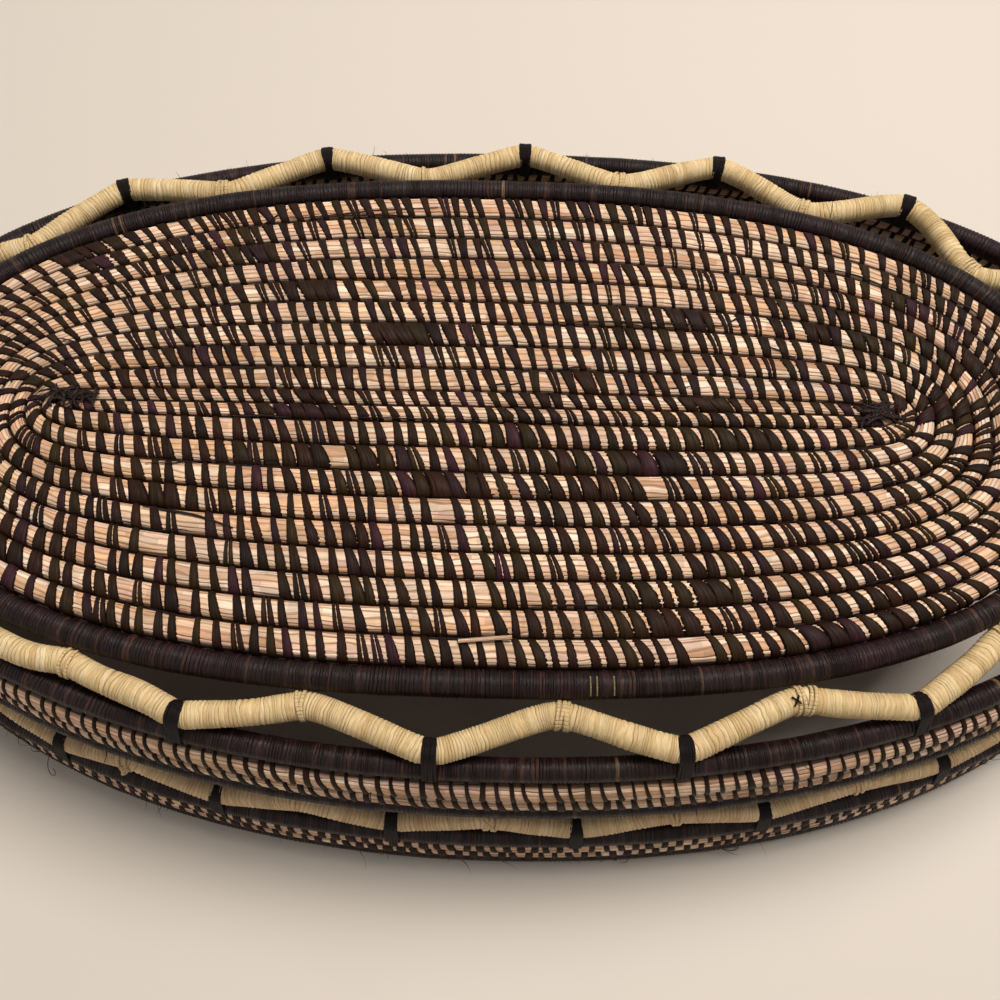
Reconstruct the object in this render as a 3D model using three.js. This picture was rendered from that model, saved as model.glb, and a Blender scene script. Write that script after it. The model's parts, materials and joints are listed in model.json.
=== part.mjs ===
// Oblong coiled basket with two openwork zigzag tiers in its wall.
// It stands on its mouth rim with the base up, as it is stored and shown.
// Millimetres, +Z up, +X along the basket, the front is -Y.
// The origin lies on the table, under the middle of the basket.
import * as THREE from 'three';

// Plan of the base, measured to the middle of the base rim. A fullness is the exponent of one half
// of an oval: 2 is an ellipse, more is squarer.
const BASE_HALF_LENGTH = 162;
const BASE_HALF_DEPTH = 77;
const BASE_FRONT_FULLNESS = 2.5;
const BASE_BACK_FULLNESS = 2.3;
const BASE_SHIFT = -6; // the base lies a little left of the wall's middle
const SPINE_END = 50; // from the end of the straight strand in the middle to the end of the base

// Plan of the wall, measured to the middle of the upper band's first row
const UPPER_TIER_REACH = 19; // from the base rim outward to that row, at mid length
const END_REACH = 24; // the same at the ends, on average
const WALL_FRONT_FULLNESS = 2.1;
const WALL_BACK_FULLNESS = 2.3;

// Base coil and base rim
const BASE_THICKNESS = 6.6;
const BASE_ROUNDS = 10;
const SPINE_PITCH = 4.8; // the first strand is thinner than the rest of the coil
const BASE_RIM_DIAMETER = 7.2;

// Wall rows: slopes are in degrees from upright, and lean outward on the way down
const ROW_PITCH = 7;
const ROW_GAP = 0.5; // clearance between neighbouring rounds
const UPPER_TIER_DROP = 8.3; // from the base rim down to the upper band's first row
const SHOULDER_SLOPES = [27, 10, 9]; // steps between the four rows of the upper band
const LOWER_TIER_SPAN = 19.9; // between the upper band's last row and the lower band's first
const LOWER_TIER_SLOPE = 14;
const LOWER_BAND_SLOPE = 5;
const LOWER_BAND_STEPS = 3; // steps between the four rows of the lower band

// Zigzag rods and the ties that bind each outer turn to the band below it
const ZIGZAG_DIAMETER = 6.6;
const UPPER_ZIGZAG_DROP = 2.1; // from the middle of the base rim down to the rod's inner turns
const UPPER_ZIGZAG_INSET = 2.2; // its outer turns lie on the band's first row, this far inside its middle
const UPPER_WAVES = 15;
const LOWER_WAVES = 20;
const LOWER_RODS = 5; // laid end to end round the lower tier; their ends meet under ties
const UPPER_SHIFT = 0.31; // where the first outer turn falls, as a share of one wave
const LOWER_SHIFT = 0.67;
const UPPER_GATHER = -9; // how far the rods' waves are drawn toward the left end, or away from it
const LOWER_GATHER = 14;
const TURN_FLAT_LENGTH = 7; // straight stretch of rod at each turn
const ROD_END_GAP = 1; // between the ends of two lengths of rod
const TIE_WIDTH = 3.6;
const TIE_THICKNESS = 0.9;
const SEAT_GAP = 0.3; // clearance where a rod lies against a ring
const TIE_GAP = 0.45; // clearance of a tie round its rod and ring

// Faceting
const STATIONS = 48; // corners of every ring
const BASE_COIL_STRIDE = 2; // the base coil uses every second station
const BASE_COIL_ZONE = 6; // half length of the stretch where a round moves out to the next, in stations
const BAND_COIL_ZONE = 2;
const SMALLEST_TIP = 0.6; // half width at which a tapering strand is cut off

const STRAW = { color: 0xdcb184, roughness: 0.7, metalness: 0 };
const DARK_RAFFIA = { color: 0x2a2024, roughness: 0.6, metalness: 0 };
const CREAM_RAFFIA = { color: 0xd9bf8c, roughness: 0.65, metalness: 0 };

const lerp = THREE.MathUtils.lerp;
const UP = new THREE.Vector3(0, 0, 1);

// Section outlines, with corners on a unit circle, wound the way sweep() expects
function regularSection(sides, turn) {
  return Array.from({ length: sides }, (_, k) => {
    const angle = ((k + turn) * 2 * Math.PI) / sides;
    return [Math.cos(angle), Math.sin(angle)];
  });
}
const OCTAGON = regularSection(8, 0.5);
const HEXAGON = regularSection(6, 0);
const OCTAGON_FLAT = Math.cos(Math.PI / 8); // distance of an octagon's flats from its middle
const HEXAGON_FLAT = Math.cos(Math.PI / 6);

const BASE_PLAN = {
  halfLength: BASE_HALF_LENGTH,
  halfDepth: BASE_HALF_DEPTH,
  front: BASE_FRONT_FULLNESS,
  back: BASE_BACK_FULLNESS,
  middle: BASE_SHIFT,
};
const WALL_PLAN = {
  halfLength: BASE_HALF_LENGTH + END_REACH,
  halfDepth: BASE_HALF_DEPTH + UPPER_TIER_REACH,
  front: WALL_FRONT_FULLNESS,
  back: WALL_BACK_FULLNESS,
  middle: 0,
};

// The base rim's oval, one point for each station, counter-clockwise from the left end
const OVAL = Array.from({ length: STATIONS }, (_, i) => {
  const angle = Math.PI + (i * 2 * Math.PI) / STATIONS;
  const { halfLength, halfDepth } = BASE_PLAN;
  const ray = new THREE.Vector2(halfLength * Math.cos(angle), halfDepth * Math.sin(angle));
  ray.divideScalar(reachOf(BASE_PLAN, ray.x + BASE_PLAN.middle, ray.y));
  return ray.setX(ray.x + BASE_PLAN.middle);
});

// How far out a point is, as a share of the way from the middle of a plan to its line
function reachOf({ halfLength, halfDepth, front, back, middle }, x, y) {
  const fullness = y < 0 ? front : back;
  const sum = Math.abs((x - middle) / halfLength) ** fullness + Math.abs(y / halfDepth) ** fullness;
  return sum ** (1 / fullness);
}

// Outward direction at each corner, long enough to keep offset ovals parallel
const MITRES = OVAL.map((here, i) => {
  const before = OVAL[(i + STATIONS - 1) % STATIONS];
  const after = OVAL[(i + 1) % STATIONS];
  const into = here.clone().sub(before).normalize();
  const out = after.clone().sub(here).normalize();
  const sum = new THREE.Vector2(into.y + out.y, -into.x - out.x);
  return sum.divideScalar(1 + into.dot(out));
});

// The wall's profile at mid length, as rows of {outward, drop} from the middle of the base rim
function stepDown(row, distance, slope) {
  const lean = THREE.MathUtils.degToRad(slope);
  return { outward: row.outward + distance * Math.sin(lean), drop: row.drop + distance * Math.cos(lean) };
}
const UPPER_BAND = [{ outward: UPPER_TIER_REACH, drop: UPPER_TIER_DROP }];
for (const slope of SHOULDER_SLOPES) UPPER_BAND.push(stepDown(UPPER_BAND.at(-1), ROW_PITCH, slope));
const LOWER_BAND = [stepDown(UPPER_BAND.at(-1), LOWER_TIER_SPAN, LOWER_TIER_SLOPE)];
for (let i = 0; i < LOWER_BAND_STEPS; i++) {
  LOWER_BAND.push(stepDown(LOWER_BAND.at(-1), ROW_PITCH, LOWER_BAND_SLOPE));
}

const RING_DIAMETER = ROW_PITCH - ROW_GAP;
const MOUTH_FLAT = (RING_DIAMETER / 2) * OCTAGON_FLAT;
const BASE_RIM_HEIGHT = LOWER_BAND.at(-1).drop + MOUTH_FLAT; // of its middle, above the table

// A rod's turns: each touches its ring. The upper rod's lie at the given drop and inset, the lower
// rod's on the line between its rings.
const RIM_CONTACT = (BASE_RIM_DIAMETER + ZIGZAG_DIAMETER) / 2 + SEAT_GAP;
const RING_CONTACT = (RING_DIAMETER + ZIGZAG_DIAMETER) / 2 + SEAT_GAP;
const leg = (contact, other) => Math.sqrt(contact ** 2 - other ** 2);
const UPPER_INNER_TURN = { outward: leg(RIM_CONTACT, UPPER_ZIGZAG_DROP), drop: UPPER_ZIGZAG_DROP };
const UPPER_OUTER_TURN = {
  outward: UPPER_TIER_REACH - UPPER_ZIGZAG_INSET,
  drop: UPPER_TIER_DROP - leg(RING_CONTACT, UPPER_ZIGZAG_INSET),
};
const LOWER_INNER_TURN = stepDown(UPPER_BAND.at(-1), RING_CONTACT, LOWER_TIER_SLOPE);
const LOWER_OUTER_TURN = stepDown(LOWER_BAND[0], -RING_CONTACT, LOWER_TIER_SLOPE);

// How much wider than at mid length the upper tier is at each station
const SPREADS = OVAL.map((corner, i) => {
  let near = 0;
  let far = 3 * UPPER_TIER_REACH;
  for (let step = 0; step < 30; step++) {
    const trial = corner.clone().addScaledVector(MITRES[i], (near + far) / 2);
    if (reachOf(WALL_PLAN, trial.x, trial.y) < 1) near = (near + far) / 2;
    else far = (near + far) / 2;
  }
  return near - UPPER_TIER_REACH;
});

// A point of the wall over a station, which need not be a whole number
function wallPoint(station, outward, drop) {
  const whole = Math.floor(station);
  const i = ((whole % STATIONS) + STATIONS) % STATIONS;
  const j = (i + 1) % STATIONS;
  const spread = THREE.MathUtils.smoothstep(outward, UPPER_INNER_TURN.outward, UPPER_OUTER_TURN.outward);
  const a = OVAL[i].clone().addScaledVector(MITRES[i], outward + spread * SPREADS[i]);
  const b = OVAL[j].clone().addScaledVector(MITRES[j], outward + spread * SPREADS[j]);
  a.lerp(b, station - whole);
  return new THREE.Vector3(a.x, a.y, BASE_RIM_HEIGHT - drop);
}

// Sweeps a section along a path of {at, facing, width, height}: width lies across the path and
// height along facing. The corners of the path are mitred.
function sweep(path, section, closed) {
  const count = path.length;
  const corners = [];
  for (let i = 0; i < count; i++) {
    const { at, facing, width, height } = path[i];
    const before = path[closed ? (i + count - 1) % count : Math.max(i - 1, 0)].at;
    const after = path[closed ? (i + 1) % count : Math.min(i + 1, count - 1)].at;
    const into = at.clone().sub(before).normalize();
    const out = after.clone().sub(at).normalize();
    if (into.lengthSq() === 0) into.copy(out);
    if (out.lengthSq() === 0) out.copy(into);
    const along = into.clone().add(out).normalize();
    const across = along.clone().cross(facing).normalize();
    const upward = across.clone().cross(along).normalize();
    const mitre = 1 / along.dot(into);
    for (const [a, b] of section) {
      const corner = at.clone().addScaledVector(across, (a * width * mitre) / 2);
      corners.push(corner.addScaledVector(upward, (b * height) / 2));
    }
  }
  const sides = section.length;
  const index = [];
  const spans = closed ? count : count - 1;
  for (let i = 0; i < spans; i++) {
    for (let k = 0; k < sides; k++) {
      const a = i * sides + k;
      const b = i * sides + ((k + 1) % sides);
      const c = ((i + 1) % count) * sides + k;
      const d = ((i + 1) % count) * sides + ((k + 1) % sides);
      index.push(a, d, b, a, c, d);
    }
  }
  if (!closed) {
    const last = (count - 1) * sides;
    for (let k = 1; k < sides - 1; k++) {
      index.push(0, k, k + 1, last, last + k + 1, last + k);
    }
  }
  return solid(corners, index);
}

function solid(corners, index) {
  const geometry = new THREE.BufferGeometry();
  const numbers = corners.flatMap((corner) => corner.toArray());
  geometry.setAttribute('position', new THREE.Float32BufferAttribute(numbers, 3));
  geometry.setIndex(index);
  geometry.computeVertexNormals();
  return geometry;
}

// A closed ring that follows the oval at one row of the wall
function ring(row, diameter) {
  const path = OVAL.map((_, i) => ({
    at: wallPoint(i, row.outward, row.drop),
    facing: UP,
    width: diameter,
    height: diameter,
  }));
  return sweep(path, OCTAGON, true);
}

// One unbroken coil of several rounds, laid between two bounds.
// stack.middle(k) and stack.half(k) give the place and half width of round k, across the rounds;
// each round moves out to the next at the left end, and both ends of the strand taper there.
function coilPath({ rounds, zone, stride, stack, innerBound, outerBound, place }) {
  const path = [];
  const edge = (k, side) => stack.middle(k) + side * stack.half(k);
  const add = (station, low, high) => {
    if (high - low >= 2 * SMALLEST_TIP) path.push(place(station, (low + high) / 2, (high - low) / 2));
  };
  for (let i = -zone; i < zone; i += stride) {
    const moved = (i + zone) / (2 * zone);
    add(i, innerBound, edge(1 + moved, -1) - ROW_GAP);
  }
  for (let k = 1; k <= rounds; k++) {
    const start = (k - 1) * STATIONS;
    for (let i = start + zone; i <= start + STATIONS - zone; i += stride) add(i, edge(k, -1), edge(k, 1));
    for (let i = -zone + stride; i < zone; i += stride) {
      const moved = (i + zone) / (2 * zone);
      const station = start + STATIONS + i;
      if (k < rounds) add(station, edge(k + moved, -1), edge(k + moved, 1));
      else add(station, edge(k - 1 + moved, 1) + ROW_GAP, outerBound);
    }
  }
  return path;
}

// Calls visit(i, distance, halfWidths) for every point of a coil and every other round beside it
function besides(path, visit) {
  for (let i = 0; i < path.length; i++) {
    for (let j = 0; j < path.length - 1; j++) {
      if (Math.abs(path[j].station - path[i].station) < STATIONS / 2) continue;
      const span = new THREE.Line3(path[j].at, path[j + 1].at);
      const share = span.closestPointToPointParameter(path[i].at, true);
      const distance = span.at(share, new THREE.Vector3()).distanceTo(path[i].at);
      visit(i, distance, (path[i].width + lerp(path[j].width, path[j + 1].width, share)) / 2);
    }
  }
}

// Narrows the strand where its rounds crowd together, so that each keeps its clearance
function easeWidths(path) {
  let eased = path;
  for (let pass = 0; pass < 3; pass++) {
    const shares = eased.map(() => 1);
    besides(eased, (i, distance, halves) => {
      shares[i] = Math.min(shares[i], (distance - ROW_GAP) / halves);
    });
    eased = eased.map((point, i) => ({ ...point, width: point.width * shares[i] }));
  }
  return eased.filter((point) => point.width >= 2 * SMALLEST_TIP);
}

// Least clearance between two rounds of a coil, measured on the points of its path
function leastGap(path) {
  let least = Infinity;
  besides(path, (_, distance, halves) => {
    least = Math.min(least, distance - halves);
  });
  return least;
}

// The base: rounds share out the way from the spine to the base rim's inner side
const BASE_REACH = BASE_HALF_DEPTH - (BASE_RIM_DIAMETER + ROW_GAP) / 2;
const BASE_PITCH = (BASE_REACH - SPINE_PITCH) / (BASE_ROUNDS - 1);
const SPINE_HALF_LENGTH = BASE_HALF_LENGTH - SPINE_END;
const BASE_STACK = {
  middle: (k) => {
    const first = SPINE_PITCH / 2;
    const second = SPINE_PITCH + BASE_PITCH / 2;
    return k < 2 ? lerp(first, second, Math.max(k - 1, 0)) : second + (k - 2) * BASE_PITCH;
  },
  half: (k) => (lerp(SPINE_PITCH, BASE_PITCH, THREE.MathUtils.clamp(k - 1, 0, 1)) - ROW_GAP) / 2,
};

// A point of the base, a given way out from the spine, up to BASE_REACH
function basePoint(station, reach) {
  const rim = wallPoint(station, BASE_REACH - BASE_HALF_DEPTH, 0);
  const bend = 6; // how sharply the spine's ends gather the rounds
  const aside = rim.x - BASE_SHIFT;
  const along = aside / (1 + Math.abs(aside / SPINE_HALF_LENGTH) ** bend) ** (1 / bend);
  const spine = new THREE.Vector3(BASE_SHIFT + along, 0, rim.z);
  return spine.lerp(rim, reach / BASE_REACH);
}

// Rounds run closer together where the rim is nearer to the spine than it is at mid length
function basePlace(station, reach, half) {
  const at = basePoint(station, reach);
  const before = basePoint(station - 1, reach);
  const after = basePoint(station + 1, reach);
  const along = after.sub(before).normalize();
  const outward = basePoint(station, reach + 1).sub(at);
  const closeness = outward.cross(along).length();
  const height = BASE_THICKNESS / HEXAGON_FLAT;
  return { at, station, facing: UP, width: 2 * half * closeness, height };
}

function baseCoil() {
  const path = easeWidths(coilPath({
    rounds: BASE_ROUNDS,
    zone: BASE_COIL_ZONE,
    stride: BASE_COIL_STRIDE,
    stack: BASE_STACK,
    innerBound: ROW_GAP / 2,
    outerBound: BASE_REACH - ROW_GAP / 2,
    place: basePlace,
  }));
  console.log(`base coil: least gap to itself ${leastGap(path).toFixed(2)} mm`);
  return sweep(path, HEXAGON, false);
}

// The stitched rounds between the two dark rings of a band, rows[1] and rows[2]
function bandCoil(name, rows) {
  const half = RING_DIAMETER / 2;
  const place = (station, way, halfWidth) => {
    const k = Math.min(Math.floor(way / ROW_PITCH), rows.length - 2);
    const share = way / ROW_PITCH - k;
    const outward = lerp(rows[k].outward, rows[k + 1].outward, share);
    const drop = lerp(rows[k].drop, rows[k + 1].drop, share);
    const size = 2 * halfWidth;
    return { at: wallPoint(station, outward, drop), station, facing: UP, width: size, height: size };
  };
  const path = easeWidths(coilPath({
    rounds: rows.length - 2,
    zone: BAND_COIL_ZONE,
    stride: 1,
    stack: { middle: (k) => k * ROW_PITCH, half: () => half },
    innerBound: half + ROW_GAP,
    outerBound: (rows.length - 1) * ROW_PITCH - half - ROW_GAP,
    place,
  }));
  console.log(`${name}: least gap to itself ${leastGap(path).toFixed(2)} mm`);
  return sweep(path, HEXAGON, false);
}

// Stations of points at given distances along a row of the wall, which gather toward one end
function stationsAlong(row, gather) {
  const marks = [0];
  for (let i = 0; i < STATIONS; i++) {
    const a = wallPoint(i, row.outward, row.drop);
    const b = wallPoint(i + 1, row.outward, row.drop);
    marks.push(marks[i] + a.distanceTo(b));
  }
  const round = marks[STATIONS];
  const at = (even) => {
    const distance = even - gather * Math.sin((even * 2 * Math.PI) / round);
    const turns = Math.floor(distance / round);
    const rest = distance - turns * round;
    let i = marks.findIndex((mark) => mark > rest) - 1;
    if (i < 0) i = STATIONS - 1;
    return turns * STATIONS + i + (rest - marks[i]) / (marks[i + 1] - marks[i]);
  };
  return { round, at };
}

// A length of rod bent in waves between an inner and an outer row of turns. It runs from one outer
// turn to another, or right round where it has all the waves.
function zigzag({ waves, shift, inner, outer, spacing, first, last }) {
  const wave = spacing.round / waves;
  const flat = TURN_FLAT_LENGTH / 2;
  const path = [];
  const add = (distance, share) => {
    const station = spacing.at(distance);
    const outward = lerp(outer.outward, inner.outward, share);
    const drop = lerp(outer.drop, inner.drop, share);
    const at = wallPoint(station, outward, drop);
    const along = wallPoint(station + 0.5, outward, drop).sub(wallPoint(station - 0.5, outward, drop));
    const down = wallPoint(station, outer.outward, outer.drop);
    down.sub(wallPoint(station, inner.outward, inner.drop));
    const facing = down.cross(along).normalize();
    path.push({ at, facing, width: ZIGZAG_DIAMETER, height: ZIGZAG_DIAMETER });
  };
  const closed = last - first === waves;
  for (let w = first; w < last; w++) {
    const start = (w + shift) * wave;
    if (closed || w > first) add(start - flat, 0);
    else add(start + ROD_END_GAP / 2, 0);
    add(start + flat, 0);
    add(start + wave / 4, 0.5);
    add(start + wave / 2 - flat, 1);
    add(start + wave / 2 + flat, 1);
    add(start + (3 * wave) / 4, 0.5);
  }
  if (!closed) {
    const end = (last + shift) * wave;
    add(end - flat, 0);
    add(end - ROD_END_GAP / 2, 0);
  }
  return sweep(path, HEXAGON, closed);
}

// A tie: a band bent over the rod's outer turn, with its two legs down the sides of the ring. It
// lies halfway between two stations.
function tie(before, after, rod, ringRow) {
  const lean = Math.atan2(rod.drop - ringRow.drop, rod.outward - ringRow.outward);
  const reach = Math.hypot(rod.outward - ringRow.outward, rod.drop - ringRow.drop);
  const inner = ZIGZAG_DIAMETER / 2 + TIE_GAP;
  const outer = inner + TIE_THICKNESS;
  const hoop = [-3, -1, 1, 3].map((k) => (k * Math.PI) / 8);
  const profile = (radius) => {
    const onHoop = hoop.map((angle) => {
      const size = radius / OCTAGON_FLAT;
      return [size * Math.cos(angle), size * Math.sin(angle)];
    });
    return [[-reach, -radius], ...onHoop, [-reach, radius]];
  };
  const middle = wallPoint(before, rod.outward, rod.drop);
  const along = wallPoint(after, rod.outward, rod.drop).sub(middle);
  middle.addScaledVector(along, 0.5);
  along.normalize();
  const outwards = along.clone().cross(UP);
  const corners = [];
  const innerLine = profile(inner);
  const outerLine = profile(outer);
  const put = ([a, b], side) => {
    const out = a * Math.cos(lean) - b * Math.sin(lean);
    const down = a * Math.sin(lean) + b * Math.cos(lean);
    const corner = middle.clone().addScaledVector(outwards, out).addScaledVector(UP, -down);
    corners.push(corner.addScaledVector(along, (side * TIE_WIDTH) / 2));
  };
  for (let i = 0; i < innerLine.length; i++) {
    put(innerLine[i], -1);
    put(outerLine[i], -1);
    put(outerLine[i], 1);
    put(innerLine[i], 1);
  }
  const index = [];
  for (let i = 0; i < innerLine.length - 1; i++) {
    for (let k = 0; k < 4; k++) {
      const a = 4 * i + k;
      const b = 4 * i + ((k + 1) % 4);
      index.push(a, b + 4, b, a, a + 4, b + 4);
    }
  }
  const last = 4 * (innerLine.length - 1);
  index.push(0, 1, 2, 0, 2, 3, last, last + 2, last + 1, last, last + 3, last + 2);
  return solid(corners, index);
}

const basket = new THREE.Group();
basket.name = 'oblong_basket';
function addPiece(name, geometry, finish) {
  const piece = new THREE.Mesh(geometry, new THREE.MeshStandardMaterial({ ...finish, flatShading: true }));
  piece.name = name;
  basket.add(piece);
}

function addTier({ name, waves, rods, shift, gather, inner, outer, ringRow }) {
  const spacing = stationsAlong(ringRow, gather);
  for (let part = 0; part < rods; part++) {
    const first = (part * waves) / rods;
    const last = ((part + 1) * waves) / rods;
    const number = rods > 1 ? `_${part + 1}` : '';
    const rod = zigzag({ waves, shift, inner, outer, spacing, first, last });
    addPiece(`${name}_zigzag${number}`, rod, CREAM_RAFFIA);
  }
  for (let w = 0; w < waves; w++) {
    const distance = ((w + shift) * spacing.round) / waves;
    const before = spacing.at(distance - TURN_FLAT_LENGTH / 4);
    const after = spacing.at(distance + TURN_FLAT_LENGTH / 4);
    const number = String(w + 1).padStart(2, '0');
    addPiece(`${name}_tie_${number}`, tie(before, after, outer, ringRow), DARK_RAFFIA);
  }
}

addPiece('base_coil', baseCoil(), STRAW);
addPiece('base_rim', ring({ outward: 0, drop: 0 }, BASE_RIM_DIAMETER), DARK_RAFFIA);
addTier({
  name: 'upper',
  waves: UPPER_WAVES,
  rods: 1,
  shift: UPPER_SHIFT,
  gather: UPPER_GATHER,
  inner: UPPER_INNER_TURN,
  outer: UPPER_OUTER_TURN,
  ringRow: UPPER_BAND[0],
});
addPiece('upper_band_top_ring', ring(UPPER_BAND[0], RING_DIAMETER), DARK_RAFFIA);
addPiece('upper_band_coil', bandCoil('upper band coil', UPPER_BAND), STRAW);
addPiece('upper_band_bottom_ring', ring(UPPER_BAND.at(-1), RING_DIAMETER), DARK_RAFFIA);
addTier({
  name: 'lower',
  waves: LOWER_WAVES,
  rods: LOWER_RODS,
  shift: LOWER_SHIFT,
  gather: LOWER_GATHER,
  inner: LOWER_INNER_TURN,
  outer: LOWER_OUTER_TURN,
  ringRow: LOWER_BAND[0],
});
addPiece('lower_band_top_ring', ring(LOWER_BAND[0], RING_DIAMETER), DARK_RAFFIA);
addPiece('lower_band_coil', bandCoil('lower band coil', LOWER_BAND), STRAW);
addPiece('mouth_rim', ring(LOWER_BAND.at(-1), RING_DIAMETER), DARK_RAFFIA);

export default basket;
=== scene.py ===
"""The oblong woven basket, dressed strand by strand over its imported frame.

Lengths are in metres unless a name says otherwise. The basket stands on its mouth rim with the base
up, +X runs along it and the photographed side faces -Y.
"""

import json
import logging
import math
from collections.abc import Callable, Sequence
from dataclasses import dataclass, field, replace
from enum import Enum

import bpy
import numpy as np
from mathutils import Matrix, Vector, noise

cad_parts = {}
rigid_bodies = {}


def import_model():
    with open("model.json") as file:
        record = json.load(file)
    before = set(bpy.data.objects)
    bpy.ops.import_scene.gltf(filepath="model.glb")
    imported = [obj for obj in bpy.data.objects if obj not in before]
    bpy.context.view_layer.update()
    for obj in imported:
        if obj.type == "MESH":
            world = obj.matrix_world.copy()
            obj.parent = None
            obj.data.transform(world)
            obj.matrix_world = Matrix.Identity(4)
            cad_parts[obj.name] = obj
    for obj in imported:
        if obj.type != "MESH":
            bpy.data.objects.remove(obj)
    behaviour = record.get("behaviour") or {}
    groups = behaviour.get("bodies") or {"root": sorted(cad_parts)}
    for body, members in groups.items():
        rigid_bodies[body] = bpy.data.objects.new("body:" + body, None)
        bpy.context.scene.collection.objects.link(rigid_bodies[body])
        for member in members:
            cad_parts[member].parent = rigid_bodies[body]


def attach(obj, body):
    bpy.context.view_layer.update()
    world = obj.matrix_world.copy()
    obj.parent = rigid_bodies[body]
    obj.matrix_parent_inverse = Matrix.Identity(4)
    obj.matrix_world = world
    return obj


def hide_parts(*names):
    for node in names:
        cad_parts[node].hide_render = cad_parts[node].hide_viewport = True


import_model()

LOG = logging.getLogger("basket")
Array = np.ndarray
Place = Callable[[Array, Array], Array]
Socket = bpy.types.NodeSocket
Colour = tuple[float, ...]
Triple = tuple[float, float, float]
Tones = tuple[tuple[float, Colour], ...]

MM = 0.001
UP = np.array([0.0, 0.0, 1.0])
STATIONS = 48.0
HALVINGS = 30
POINTS_PER_WRAP = 4
WRAP_VARIATION = 0.46
WRAP_VARIATION_SIZE = 0.0026


def srgb(red: float, green: float, blue: float) -> Colour:
    """Turns a colour written in 0 to 255 screen values into a linear one.

    Args:
        red: Red, 0 to 255.
        green: Green, 0 to 255.
        blue: Blue, 0 to 255.

    Returns:
        The linear colour with an alpha of 1.
    """

    def linear(value: float) -> float:
        """One channel, 0 to 255, as a linear value."""
        share = value / 255
        return share / 12.92 if share <= 0.04045 else ((share + 0.055) / 1.055) ** 2.4

    return (linear(red), linear(green), linear(blue), 1.0)


def unit(vectors: Array) -> Array:
    """The same vectors, each one long."""
    return vectors / np.maximum(np.linalg.norm(vectors, axis=-1, keepdims=True), 1e-12)


def ease(value: Array, low: float, high: float) -> Array:
    """0 below low, 1 above high, and smooth between them."""
    share = np.clip((value - low) / (high - low), 0, 1)
    return share * share * (3 - 2 * share)


def drift(points: Array, size: float, seed: float) -> Array:
    """Smooth noise at points, about -1 to 1.

    Args:
        points: Places, one row each.
        size: Length over which the noise changes.
        seed: Shifts the noise, so that two uses differ.

    Returns:
        One value for each point.
    """
    shift = Vector((seed * 17.3, seed * 5.1, seed * 9.7))
    return np.array([2 * noise.noise(Vector(point) / size + shift) for point in points])


# The basket's own shape.


@dataclass(frozen=True)
class Plan:
    """An oval seen from above. Its halves have their own fullness: 2 is an ellipse, more is squarer."""

    half_length: float
    half_depth: float
    front: float
    back: float
    middle: float

    def reach(self, x: Array, y: Array) -> Array:
        """How far out each place is, as a share of the way from the middle to the oval.

        Args:
            x: Places along X.
            y: Places along Y.

        Returns:
            The shares.
        """
        fullness = np.where(y < 0, self.front, self.back)
        lengthwise = np.abs((x - self.middle) / self.half_length) ** fullness
        return (lengthwise + np.abs(y / self.half_depth) ** fullness) ** (1 / fullness)

    def corner(self, station: Array) -> Array:
        """Places on the oval at stations 0 to 48, counter-clockwise from the left end.

        Args:
            station: Stations round the oval, 0 to 48.

        Returns:
            The places, level.
        """
        angle = math.pi + station * 2 * math.pi / STATIONS
        ray = np.stack([self.half_length * np.cos(angle), self.half_depth * np.sin(angle)], -1)
        ray /= self.reach(ray[..., 0] + self.middle, ray[..., 1])[..., None]
        return ray + np.array([self.middle, 0.0])

    def outward(self, station: Array) -> Array:
        """Directions square to the oval, pointing out of it.

        Args:
            station: Stations round the oval, 0 to 48.

        Returns:
            The directions, level.
        """
        step = 0.02
        tangent = unit(self.corner(station + step) - self.corner(station - step))
        return np.stack([tangent[..., 1], -tangent[..., 0]], -1)


@dataclass(frozen=True)
class Row:
    """One line of the wall's profile, measured out and down from the middle of the base rim."""

    outward: float
    drop: float

    def down(self, distance: float, slope: float) -> "Row":
        """The row that lies a distance below this one, on a slope in degrees from upright."""
        lean = math.radians(slope)
        return Row(self.outward + distance * math.sin(lean), self.drop + distance * math.cos(lean))


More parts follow.
